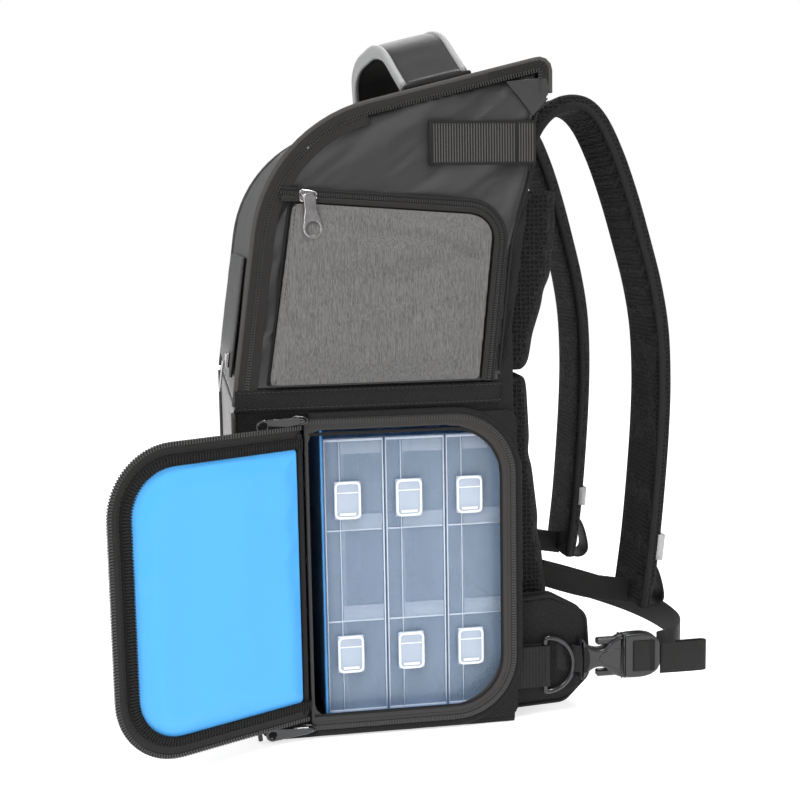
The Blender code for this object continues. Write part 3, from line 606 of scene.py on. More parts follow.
def ringPlate(name, outer, inner, thick, look, place):
    work = bmesh.new()
    half = thick / 2
    edge = thick * 0.3
    levels = [(outer, 0, half - edge), (outer, edge, half), (inner, -edge, half), (inner, 0, half - edge),
              (inner, 0, edge - half), (inner, -edge, -half), (outer, edge, -half), (outer, 0, edge - half)]
    rings = [[work.verts.new(place((u, v, w))) for u, v in inset(line, shrink)] for line, shrink,
             w in levels]
    count = len(outer)
    for now, following in zip(rings, rings[1:] + rings[:1]):
        for i in range(count):
            work.faces.new((now[i], now[(i + 1) % count], following[(i + 1) % count], following[i]))
    bmesh.ops.recalc_face_normals(work, faces=work.faces)
    mesh = bpy.data.meshes.new(name)
    work.to_mesh(mesh)
    work.free()
    piece = newPiece(name, mesh, look)
    mesh.shade_flat()
    return piece


# a tab with a round eye at its far end: u runs along the tab from its hinge
def eyeTab(name, length, wide, neck, hole, thick, look, place):
    radius, count = wide / 2, 64
    outer, inner = [], []
    for k in range(count):
        angle = 2 * math.pi * k / count
        c, s = math.cos(angle), math.sin(angle)
        reach = radius
        if c < 0:
            for t in [radius + (length - radius) * j / 60 for j in range(61)]:
                u, v = length - radius + c * t, abs(s) * t
                half = neck / 2 + (radius - neck / 2) * stepUp(u, length * 0.30, length - radius)
                if u > 0.0004 and v < half:
                    reach = max(reach, t)
        outer.append((length - radius + c * reach, s * reach))
        inner.append((length - radius + c * hole, s * hole))
    return ringPlate(name, outer, inner, thick, look, place)


def softened(name, nodeName, voxel, look, move=None, rounds=4):
    mesh = cadNodes[nodeName].data.copy()
    outward(mesh)
    piece = newPiece(name, mesh, look)
    remesh = piece.modifiers.new("remesh", "REMESH")
    remesh.mode = "VOXEL"
    remesh.voxel_size = voxel * 1.0
    ease = piece.modifiers.new("ease", "SMOOTH")
    ease.iterations = rounds
    ease.factor = 0.5
    ready = piece.evaluated_get(bpy.context.evaluated_depsgraph_get())
    soft = bpy.data.meshes.new_from_object(ready)
    bpy.data.objects.remove(piece)
    if move:
        for vert, normal in [(v, v.normal.copy()) for v in soft.vertices]:
            vert.co = move(vert.co.copy(), normal)
    return newPiece(name, soft, look)


def folds(a, b, seed, stretch=(1.0, 1.0)):
    spot = Vector((a * stretch[0], b * stretch[1], seed))
    return noise.noise(spot) * 0.65 + noise.noise(spot * 2.1) * 0.25 + noise.noise(spot * 4.3) * 0.10


def near(value, centre, width):
    return math.exp(-(((value - centre) / width) ** 2))


def stepUp(value, low, high):
    t = min(1.0, max(0.0, (value - low) / (high - low)))
    return t * t * (3 - 2 * t)


def subdivided(name, nodeName, longest, look, move=None):
    mesh = cadNodes[nodeName].data.copy()
    work = bmesh.new()
    work.from_mesh(mesh)
    bmesh.ops.remove_doubles(work, verts=work.verts, dist=1e-6)
    bmesh.ops.recalc_face_normals(work, faces=work.faces)
    for _ in range(7):
        long = [edge for edge in work.edges if edge.calc_length() > longest]
        if not long:
            break
        bmesh.ops.subdivide_edges(work, edges=long, cuts=1)
        bmesh.ops.triangulate(work, faces=[face for face in work.faces if len(face.verts) > 3])
    work.normal_update()
    if move:
        for vert, place in [(v, move(v.co.copy(), v.normal.copy())) for v in work.verts]:
            vert.co = place
    work.to_mesh(mesh)
    work.free()
    return newPiece(name, mesh, look)


def bars(name, boxes, look, edge=0.0002):
    work = bmesh.new()
    for low, high in boxes:
        low, high = Vector(low), Vector(high)
        made = bmesh.ops.create_cube(work, size=1.0)["verts"]
        for vert in made:
            vert.co = Vector([(low[i] + high[i]) / 2 + vert.co[i] * (high[i] - low[i]) for i in range(3)])
        ring = [e for e in work.edges if e.verts[0] in made or e.verts[1] in made]
        bmesh.ops.bevel(work, geom=ring, offset=edge, segments=1, affect="EDGES")
    mesh = bpy.data.meshes.new(name)
    work.to_mesh(mesh)
    work.free()
    return newPiece(name, mesh, look)


def repaint(piece, look, chosen):
    piece.data.materials.append(finish[look])
    place = len(piece.data.materials) - 1
    for face in piece.data.polygons:
        if chosen(face.center):
            face.material_index = place
    return piece


def directionAt(path, i):
    return (path[min(i + 1, len(path) - 1)] - path[max(i - 1, 0)]).normalized()


def offsetPath(path, distance):
    out = []
    for i, point in enumerate(path):
        along = directionAt(path, i)
        out.append(point + Vector((along.y, -along.x)) * distance)
    return out


def onSide(sign, rise=0.0):
    return lambda p: Vector((sign * (bag["side"] + rise + p[2]), p[0], p[1]))


def sidePath(path, sign, rise):
    return [Vector((sign * (bag["side"] + rise), p[0], p[1])) for p in path]


# bag walls

bag = {"side": 0.150, "front": -0.118, "frontAtBase": -0.106, "upperFront": -0.090,
       "peak": 0.1153, "height": 0.493, "topFront": 0.44295, "hinge": 0.248, "shelf": 0.2623,
       "seam": [(0.0, 0.092), (0.125, 0.087), (0.261, 0.074), (0.362, 0.085), (0.412, 0.100),
                (0.447, 0.102), (0.49, 0.118)]}


def seamAt(z):
    for (z0, y0), (z1, y1) in zip(bag["seam"], bag["seam"][1:]):
        if z <= z1:
            return y0 + (y1 - y0) * (z - z0) / (z1 - z0)
    return bag["seam"][-1][1]


def wallMove(sign):
    def move(co, normal):
        y, z = co.y, co.z
        soft = stepUp(z, 0.262, 0.285) * stepUp(y, bag["front"], bag["front"] + 0.03)
        diagonal = folds(y * 0.8 + z * 0.6, z * 0.8 - y * 0.6, 4.0 + sign, (11, 34))
        rearFold = folds(y, z, 9.0 + sign, (60, 16)) * stepUp(y, 0.06, 0.09)
        ridge = 1 - min(1.0, 3.2 * abs(folds(y * 0.74 + z * 0.67, z * 0.74 - y * 0.67, 14.0 + sign,
                                             (9, 21))))
        depth = 0.0055 * soft * (0.40 + diagonal) - 0.0020 * soft * ridge ** 2 + 0.0022 * rearFold
        depth = max(0.0, depth)
        low = (1 - soft) * 0.0006 * (folds(y, z, 2.0, (45, 45)) + 0.4)
        return co - Vector((sign * (depth + max(0.0, low)), 0, 0))
    return move


def buildWalls():
    for side, sign in (("near", 1), ("far", -1)):
        panel = softened(side + "SidePanel", "side_panel_" + side, 0.0021, "coatedCloth", wallMove(sign), 3)
        repaint(panel, "ballisticCloth", lambda c: c.z < bag["shelf"] or c.y > seamAt(c.z) + 0.001)
        settle(panel, "pack", "side_panel_" + side)

    def frontMove(co, normal):
        return co + Vector((0, 0.0008 * (1 + folds(co.x, co.z, 6.0, (18, 30))), 0))

    settle(softened("lowerFrontPanel", "lower_front_panel", 0.0021, "coatedCloth", frontMove, 3), "pack",
           "lower_front_panel")
    back = subdivided("backWall", "back_panel", 0.008, "ballisticCloth",
                      lambda co, n: co - Vector((0, 0.0008 * (1 + folds(co.x, co.z, 7.0, (25, 25))), 0)))
    settle(back, "pack", "back_panel")
    settle(subdivided("basePanel", "base_panel", 0.012, "ballisticCloth",
                      lambda co, n: co + Vector((0, 0,
                                                 0.0006 * (co.z > 0.005) * folds(co.x, co.y, 3.0,
                                                         (30, 30))))), "pack", "base_panel")
    # the compartment floor and bay lining take the darker blue copy, which is painted shade for the inside
    # of the bay
    settle(subdivided("compartmentFloor", "compartment_floor", 0.012, "blueClothPaintedShade",
                      lambda co, n: co + Vector((0, 0,
                                                 0.0006 * (co.z > 0.234) * (1 + folds(co.x, co.y, 3.0,
                                                         (24, 24)))))),
           "pack", "compartment_floor")
    settle(subdivided("bayLining", "bay_lining", 0.010, "blueClothPaintedShade",
                      lambda co, n: co - n * 0.00045 * (1 + folds(co.y + co.x, co.z, 5.0, (30, 22)))),
                      "pack", "bay_lining")

    def lidMove(co, normal):
        crease = folds(co.x + co.y, co.z - co.y * 0.6, 11.0, (16, 26))
        return co - normal * 0.0006 * (1 + crease)

    lid = softened("lidShell", "lid_shell", 0.0026, "coatedCloth", lidMove, 3)
    settle(lid, "lid", "lid_shell")


buildWalls()
print("walls ready")

# main zip, piping and seams

zipLook = {"tape": 0.0062, "tapeThick": 0.0010, "pitch": 0.0019, "tooth": (0.0011, 0.0030, 0.0012),
           "piping": 0.0017}


def buildEdges():
    whole = cornered([(bag["front"], bag["hinge"] + 0.001, 0), (bag["upperFront"], bag["topFront"], 0.110),
                      (bag["peak"], bag["height"], 0.0085), (bag["peak"], 0.466, 0)], 14, closed=False)
    upTo = [p for p in whole if p.y > 0.462 or p.x < 0.05]
    low = cornered([(bag["frontAtBase"], 0.001, 0.012), (bag["front"] - 0.0005, 0.120, 0.05),
                    (bag["front"], bag["hinge"] - 0.001, 0)], 6, closed=False)
    for side, sign in (("near", 1), ("far", -1)):
        rim = offsetPath(upTo, 0.0006)
        settle(sweep(side + "LidPiping", sidePath(evenly(rim, 0.004), sign, 0.0002),
                     round8(zipLook["piping"]), (1, 0, 0), "pipingCloth"), "lid")
        settle(sweep(side + "FrontPiping", sidePath(evenly(low, 0.004), sign, 0.0),
                     round8(zipLook["piping"]), (1, 0, 0), "pipingCloth"), "pack")
        upper = offsetPath(upTo, 0.0045)
        lower = [p for p in offsetPath(upTo, 0.0122) if p.x < 0.1020]
        settle(sweep(side + "LidZipTape", sidePath(evenly(upper, 0.004), sign, 0.0009),
                     slab(zipLook["tape"], zipLook["tapeThick"]),
                     (1, 0, 0), "tapeCloth"), "lid")
        settle(sweep(side + "BodyZipTape", sidePath(evenly(lower, 0.004), sign, 0.0009),
                     slab(zipLook["tape"] + 0.0008, zipLook["tapeThick"]),
                     (1, 0, 0), "tapeCloth"), "pack")
        teeth = [p for p in offsetPath(upTo, 0.0082) if p.x < 0.108]
        settle(repeated(side + "MainZipTeeth", evenly(teeth, 0.002),
                        (zipLook["pitch"], *zipLook["tooth"], 0.0012), "zipTeeth", onSide(sign)), "lid")
        gusset = [(0.0965, 0.4560), (0.1015, 0.4500), (0.1110, 0.4610), (0.1140, 0.4700), (0.1110, 0.4772),
                  (0.0820, 0.4740), (0.0900, 0.4640)]
        fold = prism(side + "CornerGusset", gusset, 0.0002, 0.0016, "coatedCloth", onSide(sign), 0.0005)
        settle(fold, "pack")
        ribs = evenly([Vector((0.0700, 0.4782)), Vector((0.1050, 0.4866)), Vector((0.1085, 0.4850)),
                       Vector((0.1098, 0.4765))], 0.003)
        settle(repeated(side + "CornerRibs", ribs, (0.0021, 0.0011, 0.0064, 0.0008, 0.0012), "bindingCloth",
                        onSide(sign)), "lid")
        seam = [Vector((seamAt(z) + 0.001, z)) for z in [0.268 + 0.008 * k for k in range(24)]]
        settle(sweep(side + "RearSeam", sidePath(seam, sign, 0.0), round8(0.0011), (1, 0, 0),
                     "bindingCloth"), "pack")
        stitch = [p - Vector((0.0035, 0)) for p in seam]
        settle(repeated(side + "RearSeamStitches", stitch, (0.0034, 0.0022, 0.0006, 0.0005, 0.0001),
                        "threadCloth", onSide(sign)), "pack")
        band = [Vector((y, 0.2525 - 0.01 * stepUp(y, -0.118, -0.2)))
                for y in [-0.1165 + 0.008 * k for k in range(25)]]
        settle(sweep(side + "MiddleBand", sidePath(band, sign, 0.0010), slab(0.0150, 0.0022), (1, 0, 0),
                     "ballisticCloth"), "pack")
        for name, drop in (("Upper", 0.0058), ("Lower", -0.0058)):
            line = [p + Vector((0, drop)) for p in band]
            settle(repeated(side + "BandStitches" + name, line, (0.0034, 0.0022, 0.0005, 0.0005, 0.0021),
                            "threadCloth", onSide(sign)), "pack")


buildEdges()
print("edges ready")

# side pockets

pocket = {"low": (-0.092, 0.263), "top": 0.391, "drop": 0.011, "puff": 0.0042,
          "tape": 0.0105, "pitch": 0.0017}


def pocketMove(sign):
    corners = [(-0.092, 0.263), (0.060, 0.263), (0.072, 0.391), (-0.072, 0.391)]

    def edgeDistance(y, z):
        least = 1.0
        for (a, b), (c, d) in zip(corners, corners[1:] + corners[:1]):
            run = math.hypot(c - a, d - b)
            least = min(least, ((c - a) * (z - b) - (d - b) * (y - a)) / run)
        return max(0.0, least)

    def move(co, normal):
        y, z = co.y, co.z
        t = (y + 0.072) / 0.144
        inner = stepUp(edgeDistance(y, z), 0.0, 0.020)
        outside = stepUp(abs(co.x), 0.1515, 0.1545)
        slack = folds(y * 0.92 + z * 0.38, z * 0.92 - y * 0.38, 1.5, (17, 34))
        crease = 0.0034 * near(z - 0.372 + 0.35 * max(0, y - 0.02), 0, 0.006) * stepUp(y, -0.04, 0.0)
        crease += 0.0028 * near(z - 0.352 - 0.25 * (y - 0.03), 0, 0.006) * stepUp(y, 0.0, 0.03)
        out = outside * inner * (pocket["puff"] + 0.0056 * slack - crease) * (1 - 0.65 * near(y, -0.062,
                0.014) * near(z, 0.385, 0.03))
        zip = 1 - pocket["drop"] / 0.128 * max(0.0, t)
        return Vector((co.x + sign * max(0.0, out), y, 0.263 + (z - 0.263) * zip))
    return move


def buildPockets():
    for side, sign in (("near", 1), ("far", -1)):
        settle(softened(side + "PocketFront", "side_pocket_" + side, 0.0017, "heatherCloth",
                        pocketMove(sign), 3),
               "pack", "side_pocket_" + side)
        frameLine = cornered([(-0.080, 0.3975, 0), (0.0795, 0.3855, 0.024), (0.0665, 0.2610, 0)], 10,
                             closed=False)
        even = evenly(frameLine, 0.003)
        settle(sweep(side + "PocketZipTape", sidePath(even, sign, 0.0012), slab(pocket["tape"], 0.0022),
                     (1, 0, 0), "bindingCloth"), "pack")
        settle(sweep(side + "PocketFlap", sidePath(offsetPath(even, 0.0030), sign, 0.0026),
                     slab(0.0042, 0.0024), (1, 0, 0), "tapeCloth"), "pack")
        for name, shift in (("Outer", -0.0040), ("Inner", 0.0018)):
            settle(repeated(side + "PocketStitches" + name, offsetPath(even, shift),
                            (0.0032, 0.0021, 0.0005, 0.0005, 0.0024), "threadCloth", onSide(sign)), "pack")
        settle(repeated(side + "PocketTeeth", offsetPath(even, -0.0008),
                        (pocket["pitch"], 0.0009, 0.0026, 0.0010, 0.0024), "zipTeeth", onSide(sign)),
                        "pack")
        edge = [Vector((-0.0925 + 0.0195 * t, 0.263 + 0.134 * t)) for t in [k / 30 for k in range(31)]]
        settle(sweep(side + "PocketFrontSeam", sidePath(edge, sign, 0.0004), round8(0.0012), (1, 0, 0),
                     "bindingCloth"), "pack")
        settle(repeated(side + "PocketFrontStitches", offsetPath(edge, 0.0040),
                        (0.0034, 0.0022, 0.0005, 0.0005, 0.0052), "threadCloth", onSide(sign)), "pack")


buildPockets()
print("pockets ready")

# doors

door = {"axis": (0.1533, -0.0705), "open": 28.0, "low": 0.0245, "high": 0.224, "width": 0.1419,
        "corner": 0.039,
        "puff": 0.0062, "rim": 0.0055, "binding": 0.0034, "pitch": 0.0021}


def doorWorld(p):
    angle = math.radians(door["open"])
    u, z, w = p[0], p[1], p[2]
    return Vector((door["axis"][0] + u * math.sin(angle) + w * math.cos(angle),
                   door["axis"][1] - u * math.cos(angle) + w * math.sin(angle), z))


def doorLocal(co):
    angle = math.radians(door["open"])
    dx, dy = co.x - door["axis"][0], co.y - door["axis"][1]
    return Vector((dx * math.sin(angle) - dy * math.cos(angle), co.z,
                   dx * math.cos(angle) + dy * math.sin(angle)))


def doorPath(grow, hinge=0.0005):
    return cornered([(hinge, door["low"] - grow, 0),
                     (door["width"] + grow, door["low"] - grow, door["corner"] + grow),
                     (door["width"] + grow, door["high"] + grow, door["corner"] + grow),
                     (hinge, door["high"] + grow, 0)], 12, closed=False)


def doorEdge(u, z):
    rim = door["rim"]
    low, high = door["low"] + rim, door["high"] - rim
    wide, corner = door["width"] - rim, door["corner"] - rim
    least = min(u - 0.004, z - low, high - z, wide - u)
    cu, cz = wide - corner, min(max(z, low + corner), high - corner)
    if u > cu and cz != z:
        least = min(least, corner - math.hypot(u - cu, z - cz))
    return max(0.0, least)


def padMove(co, normal):
    p = doorLocal(co)
    reach = doorEdge(p.x, p.y)
    inner = stepUp(reach, -0.002, 0.017)
    facing = stepUp(p.z, 0.0004, 0.0011)
    pucker = 0.0009 * near(reach, 0.009, 0.008) * math.sin(95 * p.y + 3 * math.sin(40 * p.y) + 60 * p.x)
    wave = 0.0026 * folds(p.x, p.y, 8.0, (20, 11))
    return doorWorld((p.x, p.y, p.z + facing * (inner * (door["puff"] + wave) + pucker * stepUp(reach, 0.0,
            0.006))))


def buildDoors():
    def skinMove(co, normal):
        p = doorLocal(co)
        bulge = 0.0012 * stepUp(doorEdge(p.x, p.y), 0.0, 0.02) * (1 + 0.8 * folds(p.x, p.y, 3.0, (22, 22)))
        return doorWorld((p.x, p.y, p.z - (bulge if p.z < -0.001 else 0)))

    settle(softened("doorSkin", "door_panel", 0.0017, "ballisticCloth", skinMove, 3), "door", "door_panel")
    pad = subdivided("doorPad", "door_lining", 0.0030, "blueCloth", padMove)
    settle(pad, "door", "door_lining")
    angle = math.radians(door["open"])
    normal = (math.cos(angle), math.sin(angle), 0)
    ridge = [doorWorld((p.x, p.y, -0.0002)) for p in evenly(doorPath(-0.0030), 0.0022)]
    shape = [(a * 1.12, b * 0.98) for a, b in round8(door["binding"], 0.0004, 10)]
    settle(sweep("doorBinding", ridge, shape, normal, "bindingCloth"), "door")
    settle(repeated("doorBindingRibs", evenly(doorPath(-0.0030), 0.0022),
                    (0.0022, 0.0010, 0.0066, 0.0075, 0.0002), "bindingCloth", doorWorld), "door")
    tape = [doorWorld((p.x, p.y, -0.0006)) for p in evenly(doorPath(0.0046), 0.0025)]
    settle(sweep("doorZipTape", tape, slab(0.0092, 0.0013), normal, "tapeCloth"), "door", "door_zip_tape")
    settle(repeated("doorZipTeeth", evenly(doorPath(0.0082), 0.002),
                    (door["pitch"], 0.0012, 0.0030, 0.0026, -0.0006), "zipTeeth", doorWorld), "door")
    settle(repeated("doorTapeStitches", evenly(doorPath(0.0018), 0.002),
                    (0.0032, 0.0020, 0.0005, 0.0005, 0.0002), "threadCloth", doorWorld), "door")
    fold = [doorWorld((0.0022, door["low"] - 0.004 + (door["high"] - door["low"] + 0.008) * k / 40, 0.0002))
            for k in range(41)]
    settle(sweep("doorHingeFold", fold, [(a * 1.5, b) for a, b in round8(0.0017)], normal, "bindingCloth"),
           "door")

    def farMove(co, normal):
        inner = stepUp(min(co.z - 0.02, 0.228 - co.z, co.y + 0.068, 0.074 - co.y), 0, 0.02)
        return co - Vector((0.0016 * inner * (1.2 + folds(co.y, co.z, 3.0, (22, 22))) * (co.x < -0.152), 0,
                            0))

    settle(softened("farDoorSkin", "far_door_panel", 0.0017, "coatedCloth", farMove, 3), "far_door",
           "far_door_panel")
    shift = -0.0705
    line = [Vector((p.x + shift, p.y)) for p in evenly(doorPath(0.0040), 0.003)]
    settle(repeated("farDoorTeeth", line, (door["pitch"], 0.0012, 0.0030, 0.0016, 0.0033), "zipTeeth",
                    onSide(-1)), "far_door")
    line = [Vector((p.x + shift, p.y)) for p in evenly(doorPath(-0.0025), 0.003)]
    settle(sweep("farDoorBinding", sidePath(line, -1, 0.0033), [(a * 1.5, b) for a, b in round8(0.0014)],
                 (1, 0, 0), "bindingCloth"), "far_door")


buildDoors()
print("doors ready")

# hem around the bay

hem = {"front": -0.069, "low": 0.005, "high": 0.239, "rear": 0.0884, "corner": 0.048, "pitch": 0.0020}


def hemPath(inset):
    return cornered([(hem["front"] + 0.003, hem["low"] + inset, 0),
                     (hem["rear"] - inset, hem["low"] + inset, hem["corner"] - inset),
                     (hem["rear"] - inset, hem["high"] - inset, hem["corner"] - inset),
                     (hem["front"] + 0.003, hem["high"] - inset, 0)], 12, closed=False)


def buildHem():
    flat = softened("mouthHem", "mouth_hem", 0.0011, "hemCloth", None, 2)
    corner = hem["corner"]
    middle, half = (hem["low"] + hem["high"]) / 2, (hem["high"] - hem["low"]) / 2

    def beyond(c):
        y, z = c.y - hem["rear"] + corner, abs(c.z - middle) - half + corner
        return y > 0 and z > 0 and math.hypot(y, z) > corner

    repaint(flat, "ballisticCloth", beyond)
    settle(flat, "pack", "mouth_hem")
    settle(repeated("mouthTeeth", evenly(hemPath(0.0035), 0.002),
                    (hem["pitch"], 0.0012, 0.0030, 0.0014, 0.0020), "zipTeeth", onSide(1)), "pack")
    lip = evenly(hemPath(0.0122), 0.003)
    settle(sweep("mouthLip", sidePath(lip, 1, 0.0016), round8(0.0011), (1, 0, 0), "bindingCloth"), "pack")
    outer = evenly(hemPath(-0.0012), 0.003)
    settle(sweep("mouthWelt", sidePath(outer, 1, 0.0012), [(a * 1.5, b) for a, b in round8(0.0017)],
                 (1, 0, 0), "ballisticCloth"), "pack")
    settle(repeated("mouthStitches", evenly(hemPath(0.0075), 0.003),
                    (0.0032, 0.0021, 0.0005, 0.0005, 0.0018), "threadCloth", onSide(1)), "pack")


buildHem()
print("hem ready")

# tackle boxes

boxes = {"front": -0.0545, "pitch": 0.0455, "thick": 0.045, "low": 0.0135, "high": 0.2215, "face": 0.140,
         "seam": 0.0117,
         "cells": (0.0832, 0.1520), "latches": (0.05935, 0.17565)}


def buildBoxes():
    for number in (1, 2, 3):
        y0 = boxes["front"] + (number - 1) * boxes["pitch"]
        y1, seam, x = y0 + boxes["thick"], y0 + boxes["seam"], boxes["face"]
        lowZ, highZ = boxes["low"], boxes["high"]
        lines = [((x - 0.0004, y, lowZ + 0.001), (x + rise, y + wide, highZ - 0.001))
                 for y, wide, rise in ((y0 + 0.0008, 0.0009, 0.0004), (seam, 0.0007, 0.0006),
                                       (y1 - 0.0013, 0.0011, 0.0005))]
        for z, wide in ((lowZ + 0.0006, 0.0018), (highZ - 0.0026, 0.0018)):
            lines.append(((x - 0.0004, y0 + 0.001, z), (x + 0.0006, y1 - 0.001, z + wide)))
        lines += [((x - 0.0004, y0 + 0.002, z), (x + 0.0004, y1 - 0.002, z + 0.0011))
                  for z in boxes["cells"]]
        # painted light: lighter sheets on the box face just above each cell line and just under the box
        # top; the last, upright pane sits 20 mm inside the face
        paintedLightPanes = [((x + 0.0001, seam + 0.0016, z), (x + 0.0005, y1 - 0.0018, z + 0.0125))
                 for z in boxes["cells"]]
        paintedLightPanes.append(((x + 0.0001, seam + 0.0016, highZ - 0.012), (x + 0.0005, y1 - 0.0018, highZ - 0.003)))
        paintedLightPanes.append(((x - 0.0200, seam + 0.0030, lowZ + 0.003),
                      (x - 0.0192, seam + 0.0062, highZ - 0.003)))
        settle(bars(f"boxPaintedLightPanes{number}", paintedLightPanes, "clearBand"), f"tackle_box_{number}")
        settle(bars(f"boxRibs{number}", lines, "clearRib"), f"tackle_box_{number}")
        slots = []
        for deep in (0.030, 0.070, 0.110):
            for z in boxes["cells"]:
                slots.append(((deep, seam + 0.002, z - 0.0012), (deep + 0.0012, y1 - 0.002, z + 0.0012)))
            slots.append(((deep, y0 + 0.0026, lowZ + 0.002), (deep + 0.0008, y0 + 0.0034, highZ - 0.002)))
        settle(bars(f"boxDividers{number}", slots, "clearBand"), f"tackle_box_{number}")
        for part in ("tray", "lid"):
            dress(f"tackle_box_{number}_{part}", "clearWall")
        for place, z in zip(("lower", "upper"), boxes["latches"]):
            dress(f"tackle_box_{number}_latch_{place}", "clearLatch")
            y = y0 + 0.0175
            outline = evenly(cornered([(y - 0.0088, z - 0.0130, 0.0030), (y + 0.0088, z - 0.0130, 0.0030),
                                       (y + 0.0088, z + 0.0130, 0.0030),
                                       (y - 0.0088, z + 0.0130, 0.0030)], 5), 0.0015, closed=True)
            path = [Vector((x + 0.0040, p.x, p.y)) for p in outline]
            body, label = f"tackle_box_{number}_latch_{place}", f"{number}{place.title()}"
            settle(sweep("latchRim" + label, path, round8(0.0010), (1, 0, 0), "clearRim", closed=True),
                   body)
            grip = [((x + 0.0036, y - 0.0060, z - 0.0112), (x + 0.0047, y + 0.0060, z - 0.0092)),
                    ((x + 0.0036, y - 0.0080, z + 0.0052), (x + 0.0041, y + 0.0080, z + 0.0062))]
            settle(bars("latchGrip" + label, grip, "clearRim", 0.0003), body)


buildBoxes()
print("boxes ready")

# straps, pads and webbing

strap = {"shine": {"near": (0.107, 0.132, 0.0020), "far": (0.119, 0.141, 0.0030)},
         "shineDeep": {"near": 0.0064, "far": 0.0084},
         "wide": 0.066, "thick": 0.0135, "inner": 0.052, "root": (0.1082, 0.433), "near": 1.0, "far": 0.9,
         "falls": [(0.0, 0.0), (0.008, 0.014), (0.018, 0.024), (0.031, 0.030), (0.045, 0.028),
                   (0.057, 0.016),
                   (0.069, -0.008), (0.080, -0.038), (0.090, -0.071), (0.100, -0.108), (0.106, -0.143),
                   (0.108, -0.183),
                   (0.107, -0.223), (0.104, -0.268), (0.100, -0.313), (0.096, -0.345), (0.0935, -0.362)]}


def strapLine(side):
    return curveThrough([Vector((0, strap["root"][0] + a * strap[side], strap["root"][1] + b)) for a,
                         b in strap["falls"]], 8)


